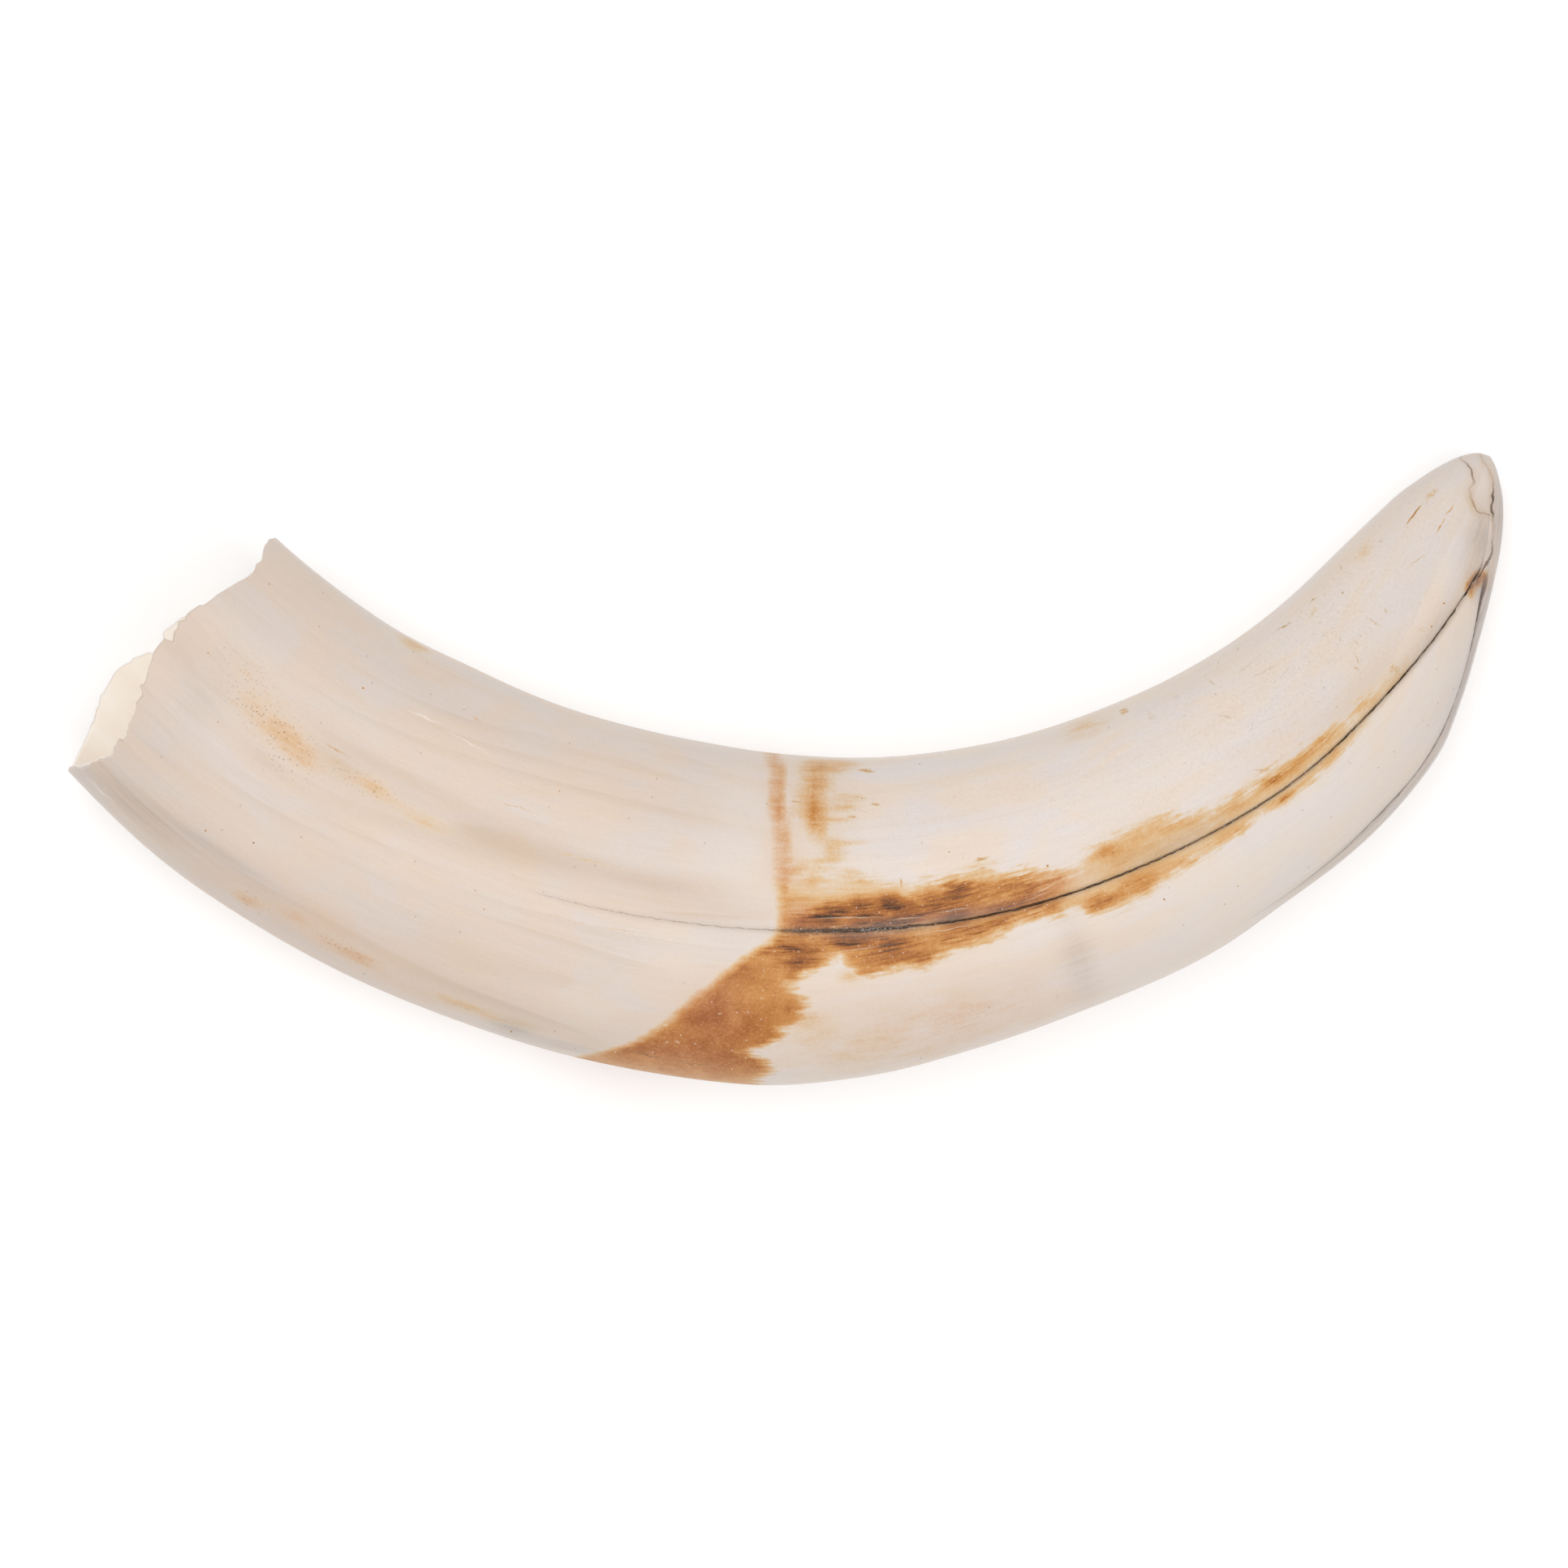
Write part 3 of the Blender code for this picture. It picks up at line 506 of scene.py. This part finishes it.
MM_PER_DEGREE = 1.85  # along the crack


def blots(table, spoke, off):
    """Lays soft blots over each other, so that they never add up to more than full strength."""
    clear = np.ones(len(spoke))
    for at, aside, long, wide, strength in table:
        clear *= 1 - strength * bump((spoke - at) * MM_PER_DEGREE, long) * bump(off - aside, wide)
    return 1 - clear


def lay(name, *fields):
    """Keeps up to three fields on the tusk's vertices, under one name."""
    layer = mesh.attributes.new(name, "FLOAT_VECTOR", "POINT")
    columns = [*fields, *[np.zeros(len(fields[0]))] * (3 - len(fields))]
    layer.data.foreach_set("vector", np.stack(columns, axis=1).ravel())


# The crack and the gutter keep the distances that they were cut with.
spoke, radius, height, turn, _ = read_places(mesh)
x, y = on_plan(spoke, radius)
degrees_round = np.degrees(turn)
centre, half_width, middle, half_thickness = half_sizes(spoke)
off = radius - along(CRACK_RADIUS, spoke)
mm_per_degree = radius * math.radians(1)
front = ease(np.sin(turn) * 4) * (1 - inward)
skin = 1 - ease(inward * 3)

from_gum = (spoke - along(GUM_LINE, degrees_round)) * mm_per_degree * np.where(
    (degrees_round > 8) & (degrees_round < 86), 0.72, 0.97)
in_crack_zone = np.where(off > 0, 1.5 * (along(STAIN_BELOW, spoke) - off), along(STAIN_ABOVE, spoke) + off)
in_band = np.where(off > 0, (along(BAND_END, radius) - spoke) * mm_per_degree, -5)
in_front, in_back = np.maximum(in_crack_zone, in_band), along(BAND_BEHIND, degrees_round) - from_gum
in_stain = np.where(turn < math.pi, in_front, in_back)
in_stain = np.where(skin > 0.5, np.clip(in_stain, -6, 6), -6)
behind = ease(-np.sin(turn) * 3)
ground = along(STAIN_GROUND, spoke) * (1 - 0.5 * ease((-off - 3.2) / 1.2) * ease((7 - spoke) / 1.5))
density = 1 - (1 - ground) * (1 - blots(STAIN_BLOTS, spoke, off))
density_behind = 0.42 + 0.2 * ease((degrees_round - 280) / 50)
density = density_behind + (density - density_behind) * ease(0.5 + 2 * np.sin(turn))
rose = np.maximum(blots(ROSE_BLOTS, spoke, off), behind * ease((degrees_round - 280) / 40))
rose = np.maximum(rose, 0.9 * ease((-4 - off) / 2) * bump(from_gum - 1, 2))
strip = ease((from_gum + 0.5) / 1.1) * ease((2.5 - from_gum) / 1.3)
strip *= 0.19 + 0.15 * bump(from_gum - 1.5, 0.6)
strip *= np.where(turn > math.pi, 1, ease((-1.5 - off) / 2))
faint = np.maximum(blots(FAINT_BLOTS, spoke, off) * front, strip) * skin
back_furrow = bump(radius - along(BACK_FURROW, spoke), 2.6) * ease((8 - spoke) / 14) * behind
# Tan earth, with painted shade beside the crack towards the tip.
tan_and_shade = (blots(TAN_AND_SHADE_BLOTS, spoke, off) * front + 0.5 * back_furrow) * skin
# The grey is partly grey dentine and partly painted shade. Beside the gutter towards the tip it is all
# painted shade, fading over 1.5 mm on its inner side and even on the strip beyond it.
grey_and_shade = blots(GREY_AND_SHADE_BLOTS, spoke, off) * front
painted_gutter_shade = np.where(gutter < 0, 0.8 * ease(1 + gutter / 1.5), 0.55 + 0.2 * ease((spoke - 43) / 3))
painted_gutter_shade *= ease((spoke - 23) / 8) * front * ease((48.5 - spoke) / 1.5)
grey_and_shade = np.maximum(grey_and_shade, painted_gutter_shade)
pale = blots(PALE_BLOTS, spoke, off) * front * skin

# The grain: mm along the tusk, across it and up, so that patterns stretch along the curl.
across, up = (radius - centre) / half_width, (height - middle) / half_thickness
lay("grain", spoke * MM_PER_DEGREE, across * 17, up * 14)
lay("stain", in_stain, density, rose)
lay("wash", faint, tan_and_shade, grey_and_shade)
for name, distance, line in (("crack", crack, CRACK_LINE), ("gutter", gutter, GUTTER_SHADE_LINE)):
    lay(name, np.where(skin > 0.5, distance, 9), along(line, spoke), along(line, spoke, 2) * front)
tip_shown = ease((spoke - 46.6) / 0.5) * front
hair_shown = ease((y - 27.6) / 0.3) * ease((x - 70) / 3) * front
lay("tip_line", x - along(TIP_LINE, y), tip_shown * along(TIP_LINE, y, 2), pale)
scratched = blots(SCRATCH_BLOTS, spoke, off) * skin
hair_slant = np.where(y < 28.6, 0.35, 0.9)
lay("tip_hair", (x - along(TIP_HAIR, y)) * hair_slant, hair_shown * along(TIP_HAIR, y, 2), scratched)
lay("gum", from_gum, inward, off)
lay("spots", blots(PORE_BLOTS, spoke, off) * front, blots(DEEP_BLOTS, spoke, off) * front)

# The strokes go on in layers, in each of which they lie so far apart that none disturbs another. A
# pale stroke has a negative strength.
strokes = BROWN_STROKES + [(*where, -strength) for *where, strength in PALE_AND_HIGHLIGHT_STROKES]
strokes += [(at_x - size, at_y, at_x + size, at_y, size * 0.8, 0.9) for at_x, at_y, size in SPECKS]
stroke_layers = []
for stroke in strokes:
    points = np.linspace(stroke[:2], stroke[2:4], 12)
    for layer in stroke_layers:
        others = np.concatenate([np.linspace(other[:2], other[2:4], 12) for other in layer])
        if np.min(np.linalg.norm(points[:, None] - others[None], axis=2)) > 2.2 * STROKE_ZONE:
            layer.append(stroke)
            break
    else:
        stroke_layers.append([stroke])
for number, layer in enumerate(stroke_layers):
    nearest = np.full(len(x), np.inf)
    across_it, along_it, strength = np.full(len(x), 9.0), np.full(len(x), 9.0), np.zeros(len(x))
    for start_x, start_y, end_x, end_y, half_wide, darkness in layer:
        run_x, run_y = (end_x - start_x) / 2, (end_y - start_y) / 2
        half_long = math.hypot(run_x, run_y)
        gone_x, gone_y = x - start_x - run_x, y - start_y - run_y
        forward = (gone_x * run_x + gone_y * run_y) / half_long
        aside = (gone_y * run_x - gone_x * run_y) / half_long
        away = np.hypot(aside, np.maximum(np.abs(forward) - half_long, 0))
        closer = away < nearest
        nearest[closer] = away[closer]
        across_it[closer], along_it[closer] = aside[closer] / half_wide, forward[closer] / half_long
        strength[closer] = np.where(away < STROKE_ZONE + half_wide, darkness, 0)[closer]
    lay(f"strokes_{number}", across_it, along_it, strength * (front > 0))


# ---- The tusk: old dentine -----------------------------------------------------------------------
# Dentine that has lain for years: cream, a little translucent, with the silky polish of handling. Its
# grain runs with the curl, so stains feather along it, and dirt has gone black in the open crack.
ivory = bpy.data.materials.new("old_dentine_handled")
ivory.use_nodes = True
# The glow is painted: emission on the hollow's wall.
ivory.cycles.emission_sampling = "NONE"  # its faint glow is seen, but lights nothing else
tree = ivory.node_tree
tree.nodes.clear()


def colour(code):
    """Turns an sRGB hex colour into the linear one that a socket takes."""
    parts = [int(code[k:k + 2], 16) / 255 for k in (1, 3, 5)]
    return (*[p / 12.92 if p <= 0.04045 else ((p + 0.055) / 1.055) ** 2.4 for p in parts], 1)


def node(kind, *values, give=(), named=(), **settings):
    """Adds a node with its settings, fills its sockets in order or by name, and gives an output or more.

    A kind may name an operation too. A socket takes a node's output, a value, or a colour's hex code.
    """
    kind, *operation = kind.split()
    made = tree.nodes.new("ShaderNode" + kind)
    for key, value in [*zip(["operation"], operation), *settings.items()]:
        setattr(made, key, value)
    sockets = [s for s in made.inputs if s.enabled]
    by_name = [(next(s for s in sockets if s.name == key), value) for key, value in dict(named).items()]
    for socket, value in [*zip(sockets, values), *by_name]:
        if isinstance(value, bpy.types.NodeSocket):
            tree.links.new(value, socket)
        else:
            socket.default_value = colour(value) if isinstance(value, str) else value
    outputs = [made.outputs[name] for name in give] or [s for s in made.outputs if s.enabled][:1]
    return outputs if len(outputs) > 1 else next(iter(outputs), None)


laid = {
    name: node("SeparateXYZ", node("Attribute", give=["Vector"], attribute_name=name), give="XYZ")
    for name in ("stain", "wash", "crack", "gutter", "tip_line", "tip_hair", "gum", "spots")}
in_stain, density, rose = laid["stain"]
faint, tan_and_shade, grey_and_shade = laid["wash"]
crack, crack_width, crack_dark = laid["crack"]
gutter, gutter_width, gutter_shade = laid["gutter"]
tip_line, tip_line_dark, pale = laid["tip_line"]
tip_hair, tip_hair_dark, scratched = laid["tip_hair"]
from_gum, inward, off_crack = laid["gum"]
pores_shown, deep, _ = laid["spots"]
place = node("VectorMath SCALE", node("TexCoord", give=["Object"]), 1000)
grain = node("Attribute", give=["Vector"], attribute_name="grain")
across_grain = node("SeparateXYZ", grain, give="Y")

# Noise stretched along the grain: scale along and across it, per mm, where it starts, detail and warp.
marble, drift, patches, streaks, fibres, clouds, lobes, tufts, dashes = [
    node("TexNoise", node("Mapping", grain, named={"Location": (start,) * 3, "Scale": (long, wide, wide)}),
         named={"Scale": 1, "Detail": detail, "Roughness": 0.6, "Distortion": warp})
    for long, wide, start, detail, warp in (
        (0.08, 0.17, 3, 2, 0.6), (0.015, 0.09, 9, 1, 0), (0.035, 0.3, 13, 1, 0),
        (0.05, 1.4, 21, 2, 0), (0.22, 5, 17, 1, 0), (0.25, 0.5, 31, 4, 0),
        (0.55, 0.9, 41, 3, 0), (0.3, 2.6, 53, 3, 0), (0.26, 3.8, 67, 2, 0))]
mottle = node("TexNoise", place, named={"Scale": 0.3, "Detail": 4, "Roughness": 0.68})
grit = node("TexNoise", place, named={"Scale": 3.2, "Detail": 2, "Roughness": 0.7})

# The clean dentine: cream clouded with a cooler white, and growth lines that are sharp on one side
# and fade on the other. They are strongest in the root's furrow, where they took up earth.
tip_side = node("MapRange", from_gum, -2, 10)
cool = node("Mix", tip_side, "#DBCEC5", "#E0D6D1", data_type="RGBA")
warm = node("Mix", tip_side, "#DFCCBB", "#E4D4C5", data_type="RGBA")
clean = node("Mix", node("MapRange", marble, 0.38, 0.62), cool, warm, data_type="RGBA")
phase = node("Math MULTIPLY", across_grain, 0.28)
phase = node("Math MULTIPLY_ADD", drift, 5, phase)
phase = node("Math FRACT", phase)
growth = node("Math MULTIPLY", node("MapRange", phase, 0, 0.06), node("MapRange", phase, 0.06, 0.55, 1, 0))
rootward = node("MapRange", from_gum, 3, -6, 0.25, 1)
growth = node("Math MULTIPLY", growth, rootward)
# Shares of growth lines, of grey dentine and painted shade, of tan earth and painted shade, and of blush.
growth_share, grey_and_shade_share, tan_and_shade_share, blush = [
    node("Math MULTIPLY", share, node("MapRange", pattern, *limits))
    for share, pattern, *limits in (
        (growth, patches, 0.42, 0.66, 0, 0.24), (grey_and_shade, streaks, 0.35, 0.65, 0.4, 0.78),
        (tan_and_shade, growth, 0, 1, 0.5, 1.1), (rose, marble, 0.35, 0.65, 0.25, 0.6))]
for share, tint in (
        (node("MapRange", streaks, 0.48, 0.75, 0, 0.1), "#CDB7A1"), (growth_share, "#C6B199"),
        (node("MapRange", fibres, 0.5, 0.8, 0, 0.09), "#C9B39B"),
        (node("MapRange", fibres, 0.5, 0.2, 0, 0.09), "#F2E9E0"),
        (node("Math MULTIPLY", pale, 0.75), "#E5DBD2"),
        (tan_and_shade_share, "#CAB097"), (blush, "#DCBFA9"),
        (node("MapRange", from_gum, 50, 90, 0, 0.55), "#D0C4BB"),
        (node("MapRange", from_gum, -30, -75, 0, 0.4), "#CFC2B8")):
    clean = node("Mix", share, clean, tint, data_type="RGBA")

# The stain: a density that a chart turns into colour. Its outline is torn along the grain, but for
# the smooth edge where the gum lay.
tear = node("MapRange", lobes, 0.25, 0.75, -0.8, 0.8)
tear = node("Math ADD", tear, node("MapRange", tufts, 0.25, 0.75, -0.9, 0.9))
tear = node("Math MULTIPLY", tear, node("MapRange", from_gum, 0.3, 2.5))
outline = node("MapRange", node("Math ADD", in_stain, tear), -1.3, 1.8, interpolation_type="SMOOTHSTEP")
gum_edge = node("Math ADD", from_gum, node("MapRange", lobes, 0.3, 0.7, -0.2, 0.2))
gum_edge = node("MapRange", gum_edge, -0.6, 1.2, interpolation_type="SMOOTHSTEP")
# Its density is clouded, in the band below without a grain, and the deep spots lie along the grain.
in_the_band = node("MapRange", off_crack, 2.5, 6)
mottle = node("MapRange", mottle, 0.25, 0.75, 0.36, 0.64)
cloudy = node("Mix", in_the_band, clouds, mottle, data_type="FLOAT")
grainy = node("Mix", in_the_band, dashes, 0.5, data_type="FLOAT")
inside = density
for pattern, least, most in ((cloudy, 0.66, 1.3), (grainy, 0.86, 1.12), (grit, 0.9, 1.08)):
    inside = node("Math MULTIPLY", inside, node("MapRange", pattern, 0.3, 0.7, least, most))
for share in (outline, gum_edge):
    inside = node("Math MULTIPLY", inside, share)
by_the_crack = node("MapRange", node("Math ABSOLUTE", off_crack), 4.5, 2)
brushed = node("MapRange", dashes, 0.56, 0.72, 0, 0.2)
for share in (node("MapRange", inside, 0.3, 0.55), by_the_crack):
    brushed = node("Math MULTIPLY", brushed, share)
inside = node("Math ADD", inside, brushed)
deepened = node("Math MULTIPLY", deep, node("MapRange", dashes, 0.35, 0.65, 0.06, 0.38))
inside = node("Math ADD", inside, deepened)
feather = faint
for pattern, least, most in ((tufts, 0.8, 1.2), (clouds, 0.6, 1.4), (grit, 0.85, 1.15)):
    feather = node("Math MULTIPLY", feather, node("MapRange", pattern, 0.3, 0.7, least, most))
stained = node("Math MAXIMUM", inside, feather)

# The strokes: spindles of stain that bit into scratches, and pale scratches through the stain, one of
# them a painted highlight. Where scratches gather, the stain in them is more like earth.
shake = node("TexNoise", place, give=["Color"], named={"Scale": 0.9, "Detail": 1})
shake = node("VectorMath SUBTRACT", shake, (0.5, 0.5, 0.5))
wobble = node("VectorMath MULTIPLY", shake, (3, 0.3, 0))
brown_strokes, pale_and_highlight_strokes = 0, 0
for number in range(len(stroke_layers)):
    layer = node("Attribute", give=["Vector"], attribute_name=f"strokes_{number}")
    spindle = node("VectorMath MULTIPLY_ADD", layer, (1, 1, 0), wobble)
    away = node("VectorMath LENGTH", spindle, give=["Value"])
    strength = node("SeparateXYZ", layer, give="Z")
    mark = node("MapRange", away, 1.2, 0.05, interpolation_type="SMOOTHSTEP")
    mark = node("Math MULTIPLY", mark, strength)
    mark = node("Math MULTIPLY", mark, node("MapRange", grit, 0.35, 0.6, 0.45, 1))
    brown_strokes = node("Math MAXIMUM", brown_strokes, mark)
    pale_and_highlight_strokes = node("Math MINIMUM", pale_and_highlight_strokes, mark)
bitten = node("Math MULTIPLY", brown_strokes, node("MapRange", scratched, 0.2, 0.8, 1, 0.35))
earthy = node("Math MULTIPLY", brown_strokes, node("MapRange", scratched, 0.2, 0.8, 0.5, 0.75))
stained = node("Math MAXIMUM", stained, bitten)
pale_and_highlight_strokes = node("Math ABSOLUTE", pale_and_highlight_strokes)

# The colours that the stain runs through as it gets denser: brown, and rosier where the gum lay.
CHART_STOPS = (0.04, 0.12, 0.25, 0.42, 0.6, 0.8, 1)
BROWN_CHART = ("#DFCFBE", "#DCC2A1", "#D8AE7A", "#CA8D49", "#AB6828", "#7F491B", "#3E2310")
ROSE_CHART = ("#DFCEC0", "#DBBFA7", "#D5AA87", "#C98D5B", "#AC6B41", "#854D2D", "#44291E")
charts = []
for codes in (BROWN_CHART, ROSE_CHART):
    chart = node("ValToRGB", stained, give=["Color"])
    elements = chart.node.color_ramp.elements
    while len(elements) < len(CHART_STOPS):
        elements.new(0.5)
    for element, stop, code in zip(elements, CHART_STOPS, codes):
        element.position, element.color = stop, colour(code)
    charts.append(chart)
stain = node("Mix", rose, *charts, data_type="RGBA")
skin_colour = node("Mix", node("MapRange", stained, 0, 0.16), clean, stain, data_type="RGBA")
# Grey dentine and painted shade, as one grey tint.
skin_colour = node("Mix", grey_and_shade_share, skin_colour, "#9A8E88", data_type="RGBA")

# Wear that is strewn rather than drawn: short scratches near the grain's way, then dots of grime, pores
# and crystals, coarser than real ones so that they show, and flecks and dust where scratches gather. The
# crystals' white dots are partly painted glints.
flat_grain = node("VectorMath MULTIPLY", grain, (1, 1, 0))
strewn = []
for start, cell_size, half_long, half_wide in ((0, 4.2, 1.3, 0.08), (37, 7, 2.2, 0.07)):
    shifted = node("VectorMath ADD", flat_grain, (start, start, 0))
    chance, centre_of = node("TexVoronoi", shifted, give=["Color", "Position"],
                             named={"Scale": 1 / cell_size}, voronoi_dimensions="2D")
    lean, picked, darkness = node("SeparateXYZ", chance, give="XYZ")
    lean = node("MapRange", lean, 0, 1, -1.1, 1.1)
    from_centre = node("VectorMath SUBTRACT", shifted, centre_of)
    turned = node("VectorRotate", from_centre, named={"Angle": lean}, rotation_type="Z_AXIS")
    turned = node("VectorMath ADD", turned, node("VectorMath SCALE", shake, 0.5))
    spindle = node("VectorMath MULTIPLY", turned, (1 / half_long, 1 / half_wide, 0))
    away = node("VectorMath LENGTH", spindle, give=["Value"])
    mark = node("MapRange", away, 1, 0.3, 0, darkness)
    strewn.append(node("Math MULTIPLY", mark, node("MapRange", picked, 0.5, 0.52)))
scratches = node("Math MULTIPLY", node("Math MAXIMUM", *strewn), scratched)
dust = []
for scale, size, rarity in ((0.42, 0.1, 0.92), (1.9, 0.105, 0.58), (0.8, 0.07, 0.7)):
    far, chance = node("TexVoronoi", flat_grain, give=["Distance", "Color"], named={"Scale": scale},
                       voronoi_dimensions="2D")
    chosen = node("MapRange", node("SeparateXYZ", chance, give="X"), rarity, rarity + 0.02)
    dot = node("MapRange", far, scale * size * 1.3, scale * size * 0.6)
    dust.append(node("Math MULTIPLY", dot, chosen))
grime, pores, crystals_and_glints = dust
pores = node("Math MULTIPLY", pores, pores_shown)
worn = node("MapRange", scratched, 0.1, 0.9, 0.06, 0.24)
flecks = node("Math MULTIPLY", node("MapRange", grit, 0.58, 0.68), worn)
dusting = node("Math MULTIPLY", node("MapRange", grit, 0.42, 0.32), worn)
crystals_and_glints = node("Math MULTIPLY", crystals_and_glints, node("MapRange", stained, 0.15, 0.5, 0, 0.6))

# The crack: black dirt in a wavering line, sooty where the gum ended, and grey beside it. A lilac line
# of painted shade lies in the gutter, and two hairlines run over the worn tip.
waver = node("Math MULTIPLY", node("SeparateXYZ", shake, give="X"), 0.3)
swell = node("MapRange", lobes, 0.3, 0.7, 0.55, 1.45)
beside = node("Math ABSOLUTE", crack)
halo = node("Math MULTIPLY", node("MapRange", beside, 0.6, 0.05, 0, 0.4), crack_dark)
soot = node("MapRange", crack_width, 0.11, 0.2)
for share in (node("MapRange", grit, 0.35, 0.6, 0.3, 1), node("MapRange", beside, 0.6, 0.1)):
    soot = node("Math MULTIPLY", soot, share)
tip_beside = node("Math MINIMUM", node("Math ABSOLUTE", tip_line), node("Math ABSOLUTE", tip_hair))
crack_width = node("Math MULTIPLY", crack_width, swell)
lines = []
for distance, width, dark, waver_share in (
        (crack, crack_width, crack_dark, 1), (gutter, gutter_width, gutter_shade, 1),
        (tip_line, 0.15, tip_line_dark, 2.2), (tip_hair, 0.13, tip_hair_dark, 2.2)):
    wavered = node("Math ABSOLUTE", node("Math MULTIPLY_ADD", waver, waver_share, distance))
    least, most = [node("Math MULTIPLY", width, share) for share in (0.55, 1.35)]
    edge = node("MapRange", wavered, most, least, interpolation_type="SMOOTHSTEP")
    lines.append(node("Math MULTIPLY", edge, dark))
crack_line, gutter_shade_line, tip_line, tip_hair = lines
unbroken = node("MapRange", crack_dark, 0.5, 0.8, 0.3, 0.8)
crack_line = node("Math MULTIPLY", crack_line, node("MapRange", grit, 0.38, 0.55, unbroken, 1))
tip_lines = node("Math MAXIMUM", tip_line, tip_hair)
tip_halo = node("Math MULTIPLY", node("MapRange", tip_beside, 0.8, 0.05, 0, 0.35),
                node("Math MAXIMUM", tip_line_dark, tip_hair_dark))
beads = node("MapRange", grit, 0.54, 0.6)
for share in (node("MapRange", beside, 0.26, 0.1), node("MapRange", crack_dark, 0.97, 0.9, 0, 0.55),
              node("MapRange", crack_dark, 0.6, 0.74)):
    beads = node("Math MULTIPLY", beads, share)
# The pale strokes' colour serves both the pale scratches and the painted highlight.
dirt, tip_dirt, bared_and_highlight = [
    node("Mix", share, faintest, fullest, data_type="RGBA")
    for share, faintest, fullest in (
        (node("MapRange", crack_dark, 0.45, 0.75), "#74563F", "#1E130D"),
        (node("MapRange", tip_lines, 0.25, 0.7), "#B48E66", "#4F4036"),
        (node("MapRange", stained, 0.05, 0.3), "#F4EDE5", "#E2CBAE"))]
for share, tint in (
        (halo, "#948069"), (node("Math MULTIPLY", soot, 0.75), "#3A3230"),
        (gutter_shade_line, "#6F605B"), (tip_halo, "#B99C80"), (tip_lines, tip_dirt),
        (node("Math MULTIPLY", scratches, 0.32), "#A98963"), (earthy, "#8C6D4B"),
        (node("Math MULTIPLY", grime, 0.4), "#8B6F52"), (flecks, "#B59A7C"),
        (dusting, "#F4EFE9"), (node("Math MULTIPLY", pores, 0.8), "#8C6740"),
        (crack_line, dirt), (beads, "#B3A7A2"), (pale_and_highlight_strokes, bared_and_highlight), (crystals_and_glints, "#F0E4D8")):
    skin_colour = node("Mix", share, skin_colour, tint, data_type="RGBA")

# The wall of the hollow is fresher and paler than the skin. Its paler colour is partly painted light,
# and a painted glow stands in for the light that comes through it.
fresh = node("MapRange", inward, 0.3, 0.9)
painted_glow = node("Mix", fresh, "#000000", "#474340", data_type="RGBA")
paler_and_lit_wall = node("Mix", node("MapRange", marble, 0.35, 0.65), "#FBF4EC", "#F6EBDD", data_type="RGBA")
base = node("Mix", fresh, skin_colour, paler_and_lit_wall, data_type="RGBA")

polish = node("Math ADD", node("MapRange", streaks, 0.3, 0.7, 0.36, 0.46),
              node("MapRange", stained, 0, 1, 0, 0.08))
relief = node("Math MULTIPLY_ADD", node("Math MULTIPLY", fibres, 0.6), 0.4, grit)
ridges = node("Bump", named={"Strength": 0.1, "Distance": 0.0002, "Height": relief})
shader = node("BsdfPrincipled", named={
    "Base Color": base, "Roughness": polish, "IOR": 1.54, "Normal": ridges, "Specular IOR Level": 0.22,
    "Subsurface Weight": 0.15, "Subsurface Radius": (1, 0.72, 0.5), "Subsurface Scale": MM,
    "Emission Color": painted_glow, "Emission Strength": 1,
})
node("OutputMaterial", shader)

mesh.materials.clear()
mesh.materials.append(ivory)
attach(tusk, "root")
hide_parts("warthog_tusk")


# ---- The stage -----------------------------------------------------------------------------------
# A plain white board under soft light from all round, and a camera straight above.
bpy.ops.object.select_all(action="DESELECT")
BOARD_SIZE = 6
bpy.ops.mesh.primitive_plane_add(size=BOARD_SIZE, location=(0, 0, 0))
board = bpy.context.object
board.name = "white_board"
paper = bpy.data.materials.new("matt_white_paper")
paper.use_nodes = True
tree = paper.node_tree
tree.nodes.clear()
shader = node("BsdfPrincipled", named={
    "Base Color": "#E2E2E2", "Roughness": 0.9, "Specular IOR Level": 0.1,
    "Emission Color": "#FFFFFF", "Emission Strength": 0.33,
})
node("OutputMaterial", shader)
board.data.materials.append(paper)

SOFTBOX_SIZE = 1
for name, stands_at, watts in (("key", (-0.3, 0.35, 1.3), 8.6), ("fill", (0.35, -0.35, 1.3), 8.2)):
    softbox = bpy.data.lights.new(name, "AREA")
    softbox.size, softbox.energy = SOFTBOX_SIZE, watts
    holder = bpy.data.objects.new(name, softbox)
    holder.location = stands_at
    holder.rotation_euler = (-holder.location).to_track_quat("-Z", "Y").to_euler()
    bpy.context.collection.objects.link(holder)

world = bpy.data.worlds.new("studio")
bpy.context.scene.world = world
world.use_nodes = True
background = world.node_tree.nodes["Background"].inputs
background["Color"].default_value, background["Strength"].default_value = (1, 1, 1, 1), 0.36

# The view is as wide as FIELD_WIDTH at half the tusk's thickness.
CAMERA_HEIGHT = 3
FIELD_WIDTH = 0.17388
MID_HEIGHT = 0.014
VIEW_CENTRE = (-0.000315, -0.0018)
eye = bpy.data.cameras.new("camera")
eye.lens = eye.sensor_width * (CAMERA_HEIGHT - MID_HEIGHT) / FIELD_WIDTH
eye.clip_end = 20
camera = bpy.data.objects.new("camera", eye)
camera.location = (*VIEW_CENTRE, CAMERA_HEIGHT)
bpy.context.collection.objects.link(camera)
bpy.context.scene.camera = camera
bpy.context.scene.view_settings.view_transform = "Standard"
